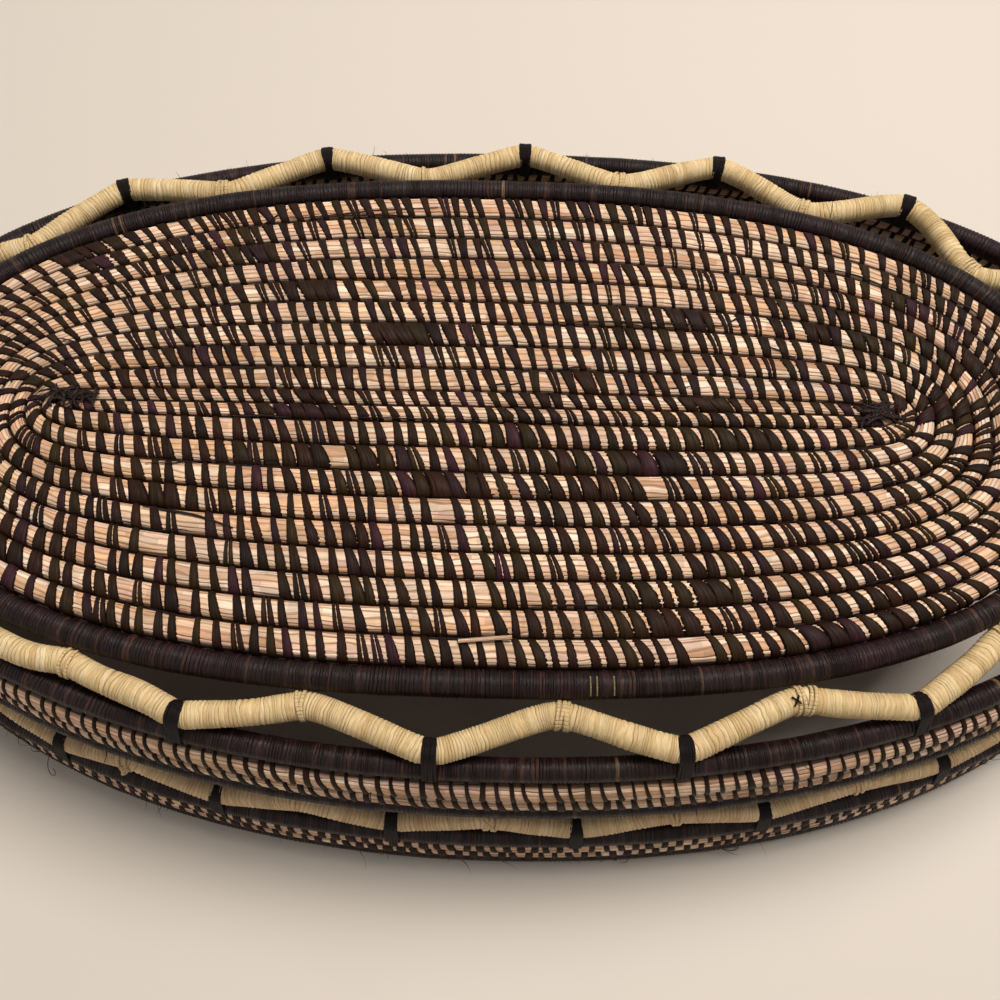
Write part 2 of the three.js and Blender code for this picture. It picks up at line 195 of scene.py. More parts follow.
@dataclass(frozen=True)
class Basket:
    """Sizes that all the pieces share, and the places on the wall that they give."""

    base: Plan = Plan(162 * MM, 77 * MM, 2.5, 2.3, -6 * MM)
    wall: Plan = Plan(186 * MM, 96 * MM, 2.1, 2.3, 0.0)
    row_pitch: float = 7 * MM
    row_gap: float = 0.5 * MM
    rim_diameter: float = 7.2 * MM
    rod_diameter: float = 6.6 * MM
    seat_gap: float = 0.3 * MM
    upper_tier_drop: float = 8.3 * MM
    shoulder_slopes: tuple[float, ...] = (27, 10, 9)
    lower_tier_span: float = 19.9 * MM
    lower_tier_slope: float = 14.0
    lower_band_slope: float = 5.0
    upper_rod_drop: float = 2.1 * MM
    upper_rod_inset: float = 2.2 * MM

    @property
    def ring_diameter(self) -> float:
        """Thickness of a wrapped ring."""
        return self.row_pitch - self.row_gap

    @property
    def upper_reach(self) -> float:
        """From the base rim out to the upper band's first row, at mid length."""
        return self.wall.half_depth - self.base.half_depth

    @property
    def upper_band(self) -> list[Row]:
        """The upper band's four rows, from the top.

        Returns:
            The rows.
        """
        rows = [Row(self.upper_reach, self.upper_tier_drop)]
        for slope in self.shoulder_slopes:
            rows.append(rows[-1].down(self.row_pitch, slope))
        return rows

    @property
    def lower_band(self) -> list[Row]:
        """The lower band's four rows, from the top.

        Returns:
            The rows.
        """
        rows = [self.upper_band[-1].down(self.lower_tier_span, self.lower_tier_slope)]
        while len(rows) < 4:
            rows.append(rows[-1].down(self.row_pitch, self.lower_band_slope))
        return rows

    @property
    def rim_height(self) -> float:
        """Height of the middle of the base rim above the table."""
        return self.lower_band[-1].drop + self.ring_diameter / 2 * math.cos(math.pi / 8)

    def touching(self, diameter: float, other: float) -> float:
        """How far a rod's middle stands from a ring that it leans on, past the other offset."""
        contact = (diameter + self.rod_diameter) / 2 + self.seat_gap
        return math.sqrt(contact**2 - other**2)

    @property
    def upper_turns(self) -> tuple[Row, Row]:
        """The upper rod's inner and outer rows of turns.

        Returns:
            The inner row, then the outer one.
        """
        drop, inset = self.upper_rod_drop, self.upper_rod_inset
        lift = self.touching(self.ring_diameter, inset)
        inner = Row(self.touching(self.rim_diameter, drop), drop)
        return inner, Row(self.upper_reach - inset, self.upper_tier_drop - lift)

    @property
    def lower_turns(self) -> tuple[Row, Row]:
        """The lower rod's inner and outer rows of turns.

        Returns:
            The inner row, then the outer one.
        """
        contact = self.touching(self.ring_diameter, 0.0)
        above, below = self.upper_band[-1], self.lower_band[0]
        return above.down(contact, self.lower_tier_slope), below.down(-contact, self.lower_tier_slope)

    def spread(self, station: Array) -> Array:
        """How much wider than at mid length the upper tier is.

        Args:
            station: Stations round the oval, 0 to 48.

        Returns:
            The extra width at each station.
        """
        corner, outward = self.base.corner(station), self.base.outward(station)
        near = np.zeros(station.shape)
        far = np.full(station.shape, 3 * self.upper_reach)
        for _ in range(HALVINGS):
            trial = corner + outward * ((near + far) / 2)[..., None]
            short = self.wall.reach(trial[..., 0], trial[..., 1]) < 1
            near = np.where(short, (near + far) / 2, near)
            far = np.where(short, far, (near + far) / 2)
        return near - self.upper_reach

    def point(self, station: Array, outward: Array, drop: Array) -> Array:
        """Places over the stations, an outward way from the base rim and a drop below it.

        Args:
            station: Stations round the oval, 0 to 48.
            outward: Way out from the base rim.
            drop: Drop below it.

        Returns:
            The places.
        """
        inner, outer = self.upper_turns
        share = ease(outward, inner.outward, outer.outward)
        way = outward + share * self.spread(station)
        flat = self.base.corner(station) + self.base.outward(station) * way[..., None]
        return np.concatenate([flat, (self.rim_height - drop)[..., None]], -1)

    def spot(self, station: float, row: Row) -> Array:
        """The place of a row at one station."""
        return self.point(np.array([station]), np.array([row.outward]), np.array([row.drop]))[0]

    def out(self, station: float) -> Array:
        """The level way out of the basket at one station."""
        return np.append(self.base.outward(np.array([station]))[0], 0.0)

    def between(self, rows: Sequence[Row]) -> Place:
        """A place function over rows of the wall, in which the way across counts rows.

        Args:
            rows: The rows, from the top.

        Returns:
            The place function.
        """
        outs = np.array([row.outward for row in rows])
        drops = np.array([row.drop for row in rows])

        def place(station: Array, way: Array) -> Array:
            """Places at a way across the rows, carried on straight past the first and last.

            Args:
                station: Stations round the oval, 0 to 48.
                way: Count of rows across.

            Returns:
                The places.
            """
            k = np.clip(np.floor(way).astype(int), 0, len(rows) - 2)
            share = way - k
            outward = outs[k] + (outs[k + 1] - outs[k]) * share
            drop = drops[k] + (drops[k + 1] - drops[k]) * share
            return self.point(station, outward, drop)

        return place


BASKET = Basket()


# Strands and their lines.


@dataclass
class Lane:
    """The line that a strand follows, with its way across, its face and its half sizes at each point."""

    centre: Array
    across: Array
    face: Array
    half: Array
    rise: Array
    along: Array
    wrap: Array
    closed: bool = False

    @classmethod
    def over(
        cls,
        centre: Array,
        across: Array,
        half: Array | float,
        rise: Array | float,
        closed: bool = False,
        wrap: Array | None = None,
    ) -> "Lane":
        """Makes a lane from its middle line.

        Args:
            centre: The points of the line.
            across: Roughly the way across the strand at each point.
            half: Half width, across.
            rise: Half thickness, along the face.
            closed: Whether the line closes on itself.
            wrap: Count of the wraps laid up to each point, or None for one in each millimetre.

        Returns:
            The lane, with its directions squared up.
        """
        if closed:
            tangent = unit(np.roll(centre, -1, 0) - np.roll(centre, 1, 0))
        else:
            tangent = unit(np.gradient(centre, axis=0))
        side = unit(across - tangent * np.sum(across * tangent, -1, keepdims=True))
        steps = np.linalg.norm(np.diff(centre, axis=0), axis=1)
        along = np.concatenate([[0.0], np.cumsum(steps)])
        count = len(centre)
        return cls(
            centre=centre,
            across=side,
            face=unit(np.cross(side, tangent)),
            half=np.broadcast_to(half, count).astype(float),
            rise=np.broadcast_to(rise, count).astype(float),
            along=along,
            wrap=along / MM if wrap is None else wrap,
            closed=closed,
        )

    @property
    def tangent(self) -> Array:
        """The way along the strand."""
        return np.cross(self.face, self.across)

    def only(self, kept: Array) -> "Lane":
        """The points of the lane that are kept."""
        keys = ("centre", "across", "face", "half", "rise", "along", "wrap")
        return Lane(*(getattr(self, key)[kept] for key in keys))

    def at(self, distances: Array) -> "Lane":
        """The lane's values at distances along it.

        Args:
            distances: Distances along the lane.

        Returns:
            The lane with its values there.
        """

        def read(values: Array) -> Array:
            """One set of values at the distances.

            Args:
                values: Values at the lane's points.

            Returns:
                The values at the distances.
            """
            if values.ndim == 1:
                return np.interp(distances, self.along, values)
            return np.stack([np.interp(distances, self.along, values[:, k]) for k in range(3)], -1)

        return Lane(
            centre=read(self.centre),
            across=unit(read(self.across)),
            face=unit(read(self.face)),
            half=read(self.half),
            rise=read(self.rise),
            along=distances,
            wrap=read(self.wrap),
        )


def measure(centre: Array, turn_weight: float, closed: bool = False) -> Array:
    """Length along a line, to which each turn adds a length of its own, so that bends get more points.

    Args:
        centre: The points of the line.
        turn_weight: Length added for one radian of turn.
        closed: Whether the last point joins the first.

    Returns:
        The measure at each point, and at the closing one where the line is closed.
    """
    points = np.concatenate([centre, centre[:1]]) if closed else centre
    steps = np.diff(points, axis=0)
    lengths = np.linalg.norm(steps, axis=1)
    ways = unit(steps)
    dots = np.clip(np.sum(ways[1:] * ways[:-1], axis=1), -1, 1)
    turns = np.concatenate([[0.0], np.arccos(dots)])
    return np.concatenate([[0.0], np.cumsum(lengths + turns * turn_weight)])


# Node trees.


class NodeDesk:
    """Places and joins nodes in one tree."""

    def __init__(self, tree: bpy.types.NodeTree) -> None:
        """Takes the tree that it works on."""
        self.tree = tree

    def add(
        self, kind: str, feeds: dict[str | int, object] | None = None, **settings: object
    ) -> bpy.types.Node:
        """Adds a node.

        Args:
            kind: The node's type.
            feeds: Values or sockets for its inputs, by name or number.
            **settings: Properties set before the inputs.

        Returns:
            The node.
        """
        node = self.tree.nodes.new(kind)
        for key, value in settings.items():
            setattr(node, key, value)
        for key, value in (feeds or {}).items():
            self.feed(self.input(node, key), value)
        return node

    @staticmethod
    def input(node: bpy.types.Node, key: str | int) -> Socket:
        """The node's input with a number, or its first one in use with a name.

        Args:
            node: The node.
            key: Number or name of the input.

        Returns:
            The input.
        """
        if isinstance(key, int):
            return node.inputs[key]
        return next(socket for socket in node.inputs if socket.enabled and socket.name == key)

    @staticmethod
    def output(node: bpy.types.Node) -> Socket:
        """The node's first output in use."""
        return next(socket for socket in node.outputs if socket.enabled)

    def feed(self, socket: Socket, value: object) -> None:
        """Joins a socket to an input, or sets the input to a plain value.

        Args:
            socket: The input.
            value: A socket or a plain value.
        """
        if isinstance(value, Socket):
            self.tree.links.new(value, socket)
        else:
            socket.default_value = value

    def math(self, operation: str, *values: object) -> Socket:
        """The result of one sum on numbers.

        Args:
            operation: Name of the sum.
            *values: Sockets or numbers.

        Returns:
            The result.
        """
        node = self.add("ShaderNodeMath", operation=operation)
        for socket, value in zip(node.inputs, values):
            self.feed(socket, value)
        return node.outputs[0]

    def times(self, first: object, second: object) -> Socket:
        """One number times another."""
        return self.math("MULTIPLY", first, second)

    def plus(self, first: object, second: object) -> Socket:
        """One number and another."""
        return self.math("ADD", first, second)

    def less(self, first: object, second: object) -> Socket:
        """The first number less the second."""
        return self.math("SUBTRACT", first, second)

    def over(self, first: object, second: object) -> Socket:
        """The first number divided by the second."""
        return self.math("DIVIDE", first, second)

    def vector(self, operation: str, *values: object) -> Socket:
        """The result of one sum on vectors; SCALE takes its number second.

        Args:
            operation: Name of the sum.
            *values: Sockets, vectors or numbers.

        Returns:
            The result.
        """
        node = self.add("ShaderNodeVectorMath", operation=operation)
        sockets = [node.inputs[0], node.inputs["Scale"]] if operation == "SCALE" else list(node.inputs)
        for socket, value in zip(sockets, values):
            self.feed(socket, value)
        return self.output(node)

    def joined(self, x: object, y: object, z: object) -> Socket:
        """A vector from three numbers."""
        return self.add("ShaderNodeCombineXYZ", {0: x, 1: y, 2: z}).outputs[0]

    def total(self, *values: Socket) -> Socket:
        """The sum of several numbers.

        Args:
            *values: The numbers.

        Returns:
            Their sum.
        """
        result = values[0]
        for value in values[1:]:
            result = self.plus(result, value)
        return result


class GeometryDesk(NodeDesk):
    """Builds a Geometry Nodes tree with named inputs."""

    def __init__(self, name: str) -> None:
        """Starts an empty tree with a geometry input and output.

        Args:
            name: Name of the tree.
        """
        super().__init__(bpy.data.node_groups.new(name, "GeometryNodeTree"))
        face = self.tree.interface
        face.new_socket("Geometry", in_out="INPUT", socket_type="NodeSocketGeometry")
        face.new_socket("Geometry", in_out="OUTPUT", socket_type="NodeSocketGeometry")
        self.keys: dict[str, str] = {}
        self.source: bpy.types.Node | None = None

    def inputs(self, **kinds: str) -> bpy.types.Node:
        """Adds the tree's named inputs and the node that hands them on.

        Args:
            **kinds: Kind of each input, by its name.

        Returns:
            The node.
        """
        for name, kind in kinds.items():
            socket = self.tree.interface.new_socket(name, in_out="INPUT", socket_type=f"NodeSocket{kind}")
            self.keys[name] = socket.identifier
        self.source = self.add("NodeGroupInput")
        return self.source

    def value(self, name: str) -> Socket:
        """What the tree is given under a name."""
        return self.source.outputs[name]

    def attribute(self, name: str, kind: str = "FLOAT") -> Socket:
        """The values stored on the geometry under a name."""
        return self.output(self.add("GeometryNodeInputNamedAttribute", {"Name": name}, data_type=kind))

    def triple(self, name: str) -> Socket:
        """The vectors stored on the geometry under a name."""
        return self.attribute(name, "FLOAT_VECTOR")

    def store(
        self, geometry: Socket, name: str, value: Socket, kind: str = "FLOAT", domain: str = "POINT"
    ) -> Socket:
        """The geometry with values stored on it under a name."""
        feeds = {"Geometry": geometry, "Name": name, "Value": value}
        return self.add("GeometryNodeStoreNamedAttribute", feeds, data_type=kind, domain=domain).outputs[0]

    def forget(self, geometry: Socket, *names: str) -> Socket:
        """The geometry without the values stored under some names.

        Args:
            geometry: The geometry.
            *names: Names of the values.

        Returns:
            The geometry without them.
        """
        for name in names:
            feeds = {"Geometry": geometry, "Name": name}
            geometry = self.add("GeometryNodeRemoveAttribute", feeds).outputs[0]
        return geometry

    def finish(self, geometry: Socket, smooth: bool) -> None:
        """Ends the tree: shading, real geometry, and its material.

        Args:
            geometry: The geometry.
            smooth: Whether it is shaded smooth.
        """
        geometry = self.add("GeometryNodeRealizeInstances", {"Geometry": geometry}).outputs[0]
        geometry = self.add("GeometryNodeSetShadeSmooth", {0: geometry, "Shade Smooth": smooth}).outputs[0]
        feeds = {"Geometry": geometry, "Material": self.value("Material")}
        geometry = self.add("GeometryNodeSetMaterial", feeds).outputs[0]
        self.add("NodeGroupOutput", {0: geometry})

    def apply(self, name: str, mesh: bpy.types.Mesh, **values: object) -> bpy.types.Object:
        """Runs the tree on a mesh and keeps the result as a plain mesh.

        Args:
            name: Name of the finished piece.
            mesh: What the tree starts from.
            **values: Values of the tree's named inputs.

        Returns:
            The finished object, at the origin.
        """
        piece = bpy.data.objects.new(name, mesh)
        bpy.context.scene.collection.objects.link(piece)
        modifier = piece.modifiers.new("Strands", "NODES")
        modifier.node_group = self.tree
        for key, value in values.items():
            modifier[self.keys[key]] = value
        bpy.context.view_layer.update()
        depsgraph = bpy.context.evaluated_depsgraph_get()
        settled = bpy.data.meshes.new_from_object(
            piece.evaluated_get(depsgraph), preserve_all_data_layers=True, depsgraph=depsgraph
        )
        piece.modifiers.clear()
        piece.data = settled
        settled.name = name
        face_outward(settled)
        return piece


def face_outward(mesh: bpy.types.Mesh) -> None:
    """Turns a closed mesh's faces outward if they point in.

    Args:
        mesh: A closed mesh.
    """
    count = len(mesh.vertices)
    points = np.empty(count * 3)
    mesh.vertices.foreach_get("co", points)
    mesh.calc_loop_triangles()
    corners = np.empty(len(mesh.loop_triangles) * 3, int)
    mesh.loop_triangles.foreach_get("vertices", corners)
    a, b, c = (points.reshape(-1, 3)[corners.reshape(-1, 3)[:, k]] for k in range(3))
    if np.sum(a * np.cross(b, c)) < 0:
        mesh.flip_normals()


class StrandTree(GeometryDesk):
    """Lays a strand along each line of a mesh: straws run along it, wraps go round it."""

    def __init__(self) -> None:
        """Builds the tree."""
        super().__init__("strand")
        self.inputs(
            Material="Material",
            Sides="Int",
            Fullness="Float",
            Straws="Float",
            Straw_Depth="Float",
            Wrap_Depth="Float",
            Wrap_Lean="Float",
            Wobble="Float",
            Wobble_Size="Float",
            Seed="Float",
        )
        curve = self.add("GeometryNodeMeshToCurve", {"Mesh": self.source.outputs[0]}).outputs[0]
        curve = self.store(curve, "middle", self.add("GeometryNodeInputPosition").outputs[0], "FLOAT_VECTOR")
        feeds = {"Resolution": self.value("Sides"), "Radius": 0.001}
        ring = self.add("GeometryNodeCurvePrimitiveCircle", feeds, mode="RADIUS").outputs[0]
        turn = self.over(self.add("GeometryNodeInputIndex").outputs[0], self.value("Sides"))
        ring = self.store(ring, "theta", self.times(turn, 2 * math.pi))
        feeds = {"Curve": curve, "Profile Curve": ring, "Fill Caps": True}
        tube = self.add("GeometryNodeCurveToMesh", feeds).outputs[0]
        tube = self.store(tube, "wrap", self.leaned())
        feeds = {"Geometry": tube, "Position": self.skin(self.jitter())}
        tube = self.add("GeometryNodeSetPosition", feeds).outputs[0]
        tube = self.forget(tube, "middle", "side_way", "face_way", "half", "rise")
        self.finish(tube, smooth=True)

    def jitter(self) -> Socket:
        """Slow noise over the piece, from 0 to 1.

        Returns:
            The noise.
        """
        feeds = {"Vector": self.triple("middle"), "W": self.value("Seed"), "Detail": 2.0}
        size = self.over(1.0, self.value("Wobble_Size"))
        return self.add("ShaderNodeTexNoise", feeds | {"Scale": size}, noise_dimensions="4D").outputs[0]

    def leaned(self) -> Socket:
        """The count of wraps, which leans a little one way and the other.

        Returns:
            The count.
        """
        side = self.vector("SCALE", self.triple("side_way"), self.math("COSINE", self.attribute("theta")))
        place = self.vector("ADD", self.triple("middle"), self.vector("SCALE", side, 4 * MM))
        seed = self.plus(self.value("Seed"), 7.0)
        feeds = {"Vector": place, "W": seed, "Scale": 160.0, "Detail": 1.0}
        lean = self.add("ShaderNodeTexNoise", feeds, noise_dimensions="4D").outputs[0]
        lean = self.times(self.less(lean, 0.5), self.value("Wrap_Lean"))
        return self.plus(self.attribute("wrap"), lean)

    def bulged(self, wave: Socket) -> Socket:
        """A sine or cosine pushed outward, so that the section is fuller than an ellipse.

        Args:
            wave: The sine or cosine.

        Returns:
            The fuller wave.
        """
        power = self.over(2.0, self.value("Fullness"))
        size = self.math("POWER", self.math("ABSOLUTE", wave), power)
        return self.times(size, self.math("SIGN", wave))

    def skin(self, jitter: Socket) -> Socket:
        """Where each point of the strand's surface lies.

        Args:
            jitter: Slow noise over the piece.

        Returns:
            The places.
        """
        theta = self.attribute("theta")
        cosine, sine = self.math("COSINE", theta), self.math("SINE", theta)
        side, face = self.triple("side_way"), self.triple("face_way")
        half, rise = self.attribute("half"), self.attribute("rise")
        out = self.vector("SCALE", side, self.times(half, self.bulged(cosine)))
        up = self.vector("SCALE", face, self.times(rise, self.bulged(sine)))
        place = self.vector("ADD", self.triple("middle"), self.vector("ADD", out, up))
        normal = self.vector("ADD", self.vector("SCALE", side, cosine), self.vector("SCALE", face, sine))
        straws = self.times(theta, self.value("Straws"))
        crest = self.less(self.math("COSINE", straws), 1.0)
        turns = self.times(self.attribute("wrap"), 2 * math.pi)
        ridge = self.less(self.math("COSINE", turns), 1.0)
        swell = self.total(
            self.times(crest, self.times(self.value("Straw_Depth"), 0.5)),
            self.times(ridge, self.times(self.value("Wrap_Depth"), 0.5)),
            self.times(self.less(jitter, 0.5), self.value("Wobble")),
        )
        return self.vector("ADD", place, self.vector("SCALE", normal, swell))

    def lay(
        self,
        name: str,
        lanes: Sequence[Lane],
        material: bpy.types.Material,
        sides: int,
        fullness: float = 2.0,
        straws: int = 0,
        straw_depth: float = 0.0,
        wrap_depth: float = 0.0,
        wrap_lean: float = 0.0,
        wobble: float = 0.0,
        wobble_size: float = 0.03,
        seed: float = 1.0,
    ) -> bpy.types.Object:
        """Lays strands along lanes and returns them as one piece.

        Args:
            name: Name of the piece.
            lanes: The lines that the strands follow.
            material: Finish of the piece.
            sides: Corners of a strand's section.
            fullness: Exponent of the section: 2 is an ellipse, more is squarer.
            straws: Straws round the section.
            straw_depth: Depth of the grooves between straws.
            wrap_depth: Depth of the grooves between wraps.
            wrap_lean: How many wraps the wrapping leans by, at most.
            wobble: How far the surface wanders in all.
            wobble_size: Length over which it does.
            seed: Shifts the random part.

        Returns:
            The finished object.
        """
        return self.apply(
            name,
            lane_mesh(name, lanes),
            Material=material,
            Sides=sides,
            Fullness=fullness,
            Straws=float(straws),
            Straw_Depth=straw_depth,
            Wrap_Depth=wrap_depth,
            Wrap_Lean=wrap_lean,
            Wobble=wobble,
            Wobble_Size=wobble_size,
            Seed=seed,
        )


def lane_mesh(name: str, lanes: Sequence[Lane]) -> bpy.types.Mesh:
    """A mesh of bare lines, with each lane's values stored on its points.

    Args:
        name: Name of the mesh.
        lanes: The lines.

    Returns:
        The mesh.
    """
    edges: list[tuple[int, int]] = []
    start = 0
    for lane in lanes:
        count = len(lane.centre)
        edges += [(start + i, start + i + 1) for i in range(count - 1)]
        if lane.closed:
            edges.append((start + count - 1, start))
        start += count
    mesh = bpy.data.meshes.new(name)
    mesh.from_pydata(np.concatenate([lane.centre for lane in lanes]).tolist(), edges, [])
    for key, field_name in {"side_way": "across", "face_way": "face"}.items():
        store = mesh.attributes.new(key, "FLOAT_VECTOR", "POINT")
        values = np.concatenate([getattr(lane, field_name) for lane in lanes])
        store.data.foreach_set("vector", values.astype(np.float32).ravel())
    for key in ("half", "rise", "along", "wrap"):
        store = mesh.attributes.new(key, "FLOAT", "POINT")
        values = np.concatenate([getattr(lane, key) for lane in lanes])
        store.data.foreach_set("value", values.astype(np.float32))
    return mesh


# Stitches.


@dataclass(frozen=True)
class StitchCut:
    """One way that a raffia stitch lies over its row. Widths and leans are shares of its nominal width."""

    inner: float
    outer: float
    lean: float
    bow: float
    strands: tuple[tuple[float, float], ...] = ((-0.5, 0.5),)
    lift: float = 0.10
    fullness: float = 2.5
    steps: int = 14

    def mesh(self, name: str) -> bpy.types.Mesh:
        """A closed band round a section one wide and high, a nominal width broad, its outer edge at -Y.

        Args:
            name: Name of the mesh.

        Returns:
            The mesh.
        """
        points: list[tuple[float, float, float]] = []
        faces: list[tuple[int, ...]] = []
        across: list[float] = []
        around: list[float] = []
        for low, high in self.strands:
            start = len(points)
            for step in range(self.steps):
                angle = 2 * math.pi * (step + 0.5) / self.steps
                cosine, sine = math.cos(angle), math.sin(angle)
                y = math.copysign(abs(cosine) ** (2 / self.fullness), cosine)
                z = math.copysign(abs(sine) ** (2 / self.fullness), sine)
                width = self.inner + (self.outer - self.inner) * (1 + y) / 2
                middle = self.lean * y / 2 + self.bow * (1 - y * y) * (1 if z > 0 else -1)
                for share, lift in ((0.0, -0.02), (0.22, 1.0), (0.78, 0.9), (1.0, -0.02)):
                    at = low + (high - low) * share
                    grow = 1 + self.lift * lift
                    points.append((middle + at * width, -y * grow, z * grow))
                    across.append(2 * at)
                    around.append(step / self.steps)
            for step in range(self.steps):
                for k in range(4):
                    a, b = start + step * 4 + k, start + step * 4 + (k + 1) % 4
                    following = start + (step + 1) % self.steps * 4
                    faces.append((a, b, following + (k + 1) % 4, following + k))
        mesh = bpy.data.meshes.new(name)
        mesh.from_pydata(points, [], faces)
        for key, values in {"across": across, "around": around}.items():
            store = mesh.attributes.new(key, "FLOAT", "POINT")
            store.data.foreach_set("value", values)
        return mesh


class StitchKind(Enum):
    """The cuts that stitches are picked from."""

    PLAIN = StitchCut(0.76, 1.30, 0.95, 0.10)
    SLIM = StitchCut(0.66, 1.10, 1.05, 0.02)
    BROAD = StitchCut(0.98, 1.50, 0.80, 0.12)
    SPLIT = StitchCut(0.88, 1.44, 0.95, 0.06, ((-0.5, -0.05), (0.02, 0.5)), 0.10, 2.5, 12)
    CHECK = StitchCut(0.98, 1.06, 0.12, 0.0)
    CHECK_LEAN = StitchCut(0.85, 1.12, 0.45, 0.03)

    @property
    def number(self) -> int:
        """The cut's place in the collection of cuts."""
        return list(StitchKind).index(self)


class StitchTree(GeometryDesk):
    """Sets a stitch at each point of a mesh, picked from a collection of cuts."""

    def __init__(self) -> None:
        """Builds the tree."""
        super().__init__("set_stitches")
        self.inputs(Material="Material", Cuts="Collection", Spread="Float", Seed="Int")
        face = self.triple("face_way")
        way = self.triple("forward")
        turn = self.add(
            "FunctionNodeAxesToRotation",
            {"Primary Axis": face, "Secondary Axis": way},
            primary_axis="Z",
            secondary_axis="X",
        ).outputs[0]
        feeds = {"Collection": self.value("Cuts"), "Separate Children": True, "Reset Children": True}
        cuts = self.add("GeometryNodeCollectionInfo", feeds).outputs[0]
        spread = self.value("Spread")
        rough = self.random(self.less(1.0, spread), self.plus(1.0, spread), 11)
        size = self.vector("MULTIPLY", self.triple("size"), self.joined(rough, 1.0, 1.0))
        picked = self.add(
            "GeometryNodeInstanceOnPoints",
            {
                "Points": self.source.outputs[0],
                "Instance": cuts,
                "Pick Instance": True,
                "Instance Index": self.attribute("cut", "INT"),
                "Rotation": turn,
                "Scale": size,
            },
        ).outputs[0]
        picked = self.store(picked, "tint", self.random(0.0, 1.0, 5), domain="INSTANCE")
        self.finish(self.forget(picked, "face_way", "forward", "size", "cut"), smooth=True)

    def random(self, low: object, high: object, shift: int) -> Socket:
        """A number for each stitch, between two bounds.

        Args:
            low: Lower bound.
            high: Upper bound.
            shift: Makes one use differ from another.

        Returns:
            The number.
        """
        seed = self.plus(self.value("Seed"), float(shift))
        return self.output(
            self.add("FunctionNodeRandomValue", {"Min": low, "Max": high, "Seed": seed}, data_type="FLOAT")
        )


@dataclass
class Stitches:
    """Places of the stitches of one piece, gathered before they are set."""

    places: list[Array] = field(default_factory=list)
    faces: list[Array] = field(default_factory=list)
    ways: list[Array] = field(default_factory=list)
    sizes: list[tuple[float, float, float]] = field(default_factory=list)
    cuts: list[int] = field(default_factory=list)

    def add(self, spot: Lane, widths: Array, cuts: Array, skews: Array | None = None) -> None:
        """Adds a stitch at each point of a lane.

        Args:
            spot: The lane's values where the stitches go.
            widths: Nominal width of each.
            cuts: Number of the cut of each.
            skews: Turn of each about its face, in radians.
        """
        ways = spot.tangent
        if skews is not None:
            ways = ways * np.cos(skews)[:, None] + spot.across * np.sin(skews)[:, None]
        self.places += list(spot.centre)
        self.faces += list(spot.face)
        self.ways += list(ways)
        self.sizes += list(zip(widths, spot.half, spot.rise))
        self.cuts += [int(cut) for cut in cuts]

    def mesh(self, name: str) -> bpy.types.Mesh:
        """A mesh of loose points that carries the stitches' values.

        Args:
            name: Name of the mesh.

        Returns:
            The mesh.
        """
        mesh = bpy.data.meshes.new(name)
        mesh.from_pydata([tuple(place) for place in self.places], [], [])
        for key, values in {"face_way": self.faces, "forward": self.ways, "size": self.sizes}.items():
            store = mesh.attributes.new(key, "FLOAT_VECTOR", "POINT")
            store.data.foreach_set("vector", np.array(values, np.float32).ravel())
        store = mesh.attributes.new("cut", "INT", "POINT")
        store.data.foreach_set("value", np.array(self.cuts, np.int32))
        return mesh


# Finishes.


class ShadeDesk(NodeDesk):
    """Places and joins nodes in a material."""

    def read(self, name: str) -> Socket:
        """A number stored on the piece."""
        return self.add("ShaderNodeAttribute", attribute_name=name).outputs["Fac"]

    def chance(self, x: object, y: object, z: object = 0.0) -> Socket:
        """A random number from 0 to 1 for each set of three numbers."""
        feeds = {"Vector": self.joined(x, y, z)}
        return self.add("ShaderNodeTexWhiteNoise", feeds, noise_dimensions="3D").outputs["Value"]

    def grain(self, x: object, y: object, z: object, detail: float) -> Socket:
        """Smooth noise from 0 to 1 over three numbers."""
        feeds = {"Vector": self.joined(x, y, z), "Scale": 1.0, "Detail": detail}
        return self.add("ShaderNodeTexNoise", feeds, noise_dimensions="3D").outputs[0]

    def cloud(self, scale: float, detail: float) -> Socket:
        """Soft noise over the piece."""
        feeds = {"Vector": self.add("ShaderNodeTexCoord").outputs["Object"], "Scale": scale, "Detail": detail}
        return self.add("ShaderNodeTexNoise", feeds).outputs[0]

    def ramp(self, factor: Socket, stops: Tones) -> Socket:
        """A colour picked along a ramp.

        Args:
            factor: Place along the ramp, 0 to 1.
            stops: Places and colours of its marks.

        Returns:
            The colour.
        """
        node = self.add("ShaderNodeValToRGB", {"Fac": factor})
        marks = node.color_ramp.elements
        while len(marks) < len(stops):
            marks.new(0.5)
        for mark, (place, colour) in zip(marks, stops):
            mark.position = place
            mark.color = colour
        return node.outputs[0]

    def blend(self, kind: str, factor: object, first: object, second: object) -> Socket:
        """Two colours mixed.

        Args:
            kind: How they are mixed.
            factor: Share of the second.
            first: The first colour.
            second: The second colour.

        Returns:
            The mixed colour.
        """
        node = self.add("ShaderNodeMix", data_type="RGBA", blend_type=kind)
        for key, value in {"Factor": factor, "A": first, "B": second}.items():
            self.feed(self.input(node, key), value)
        return self.output(node)

    def shaded(self, tone: Socket, shade: Socket) -> Socket:
        """A colour times a number."""
        return self.blend("MULTIPLY", 1.0, tone, self.joined(shade, shade, shade))

    def span(
        self, value: Socket, low: float, high: float, to_low: float = 0.0, to_high: float = 1.0
    ) -> Socket:
        """A number carried smoothly from one span to another."""
        feeds = {0: value, 1: low, 2: high, 3: to_low, 4: to_high}
        return self.add("ShaderNodeMapRange", feeds, interpolation_type="SMOOTHSTEP").outputs[0]

    def relief(self, shader: bpy.types.Node, height: Socket, distance: float, strength: float) -> None:
        """Gives a shader a bump."""
        bump = self.add("ShaderNodeBump", {"Strength": strength, "Distance": distance, "Height": height})
        self.feed(shader.inputs["Normal"], bump.outputs[0])


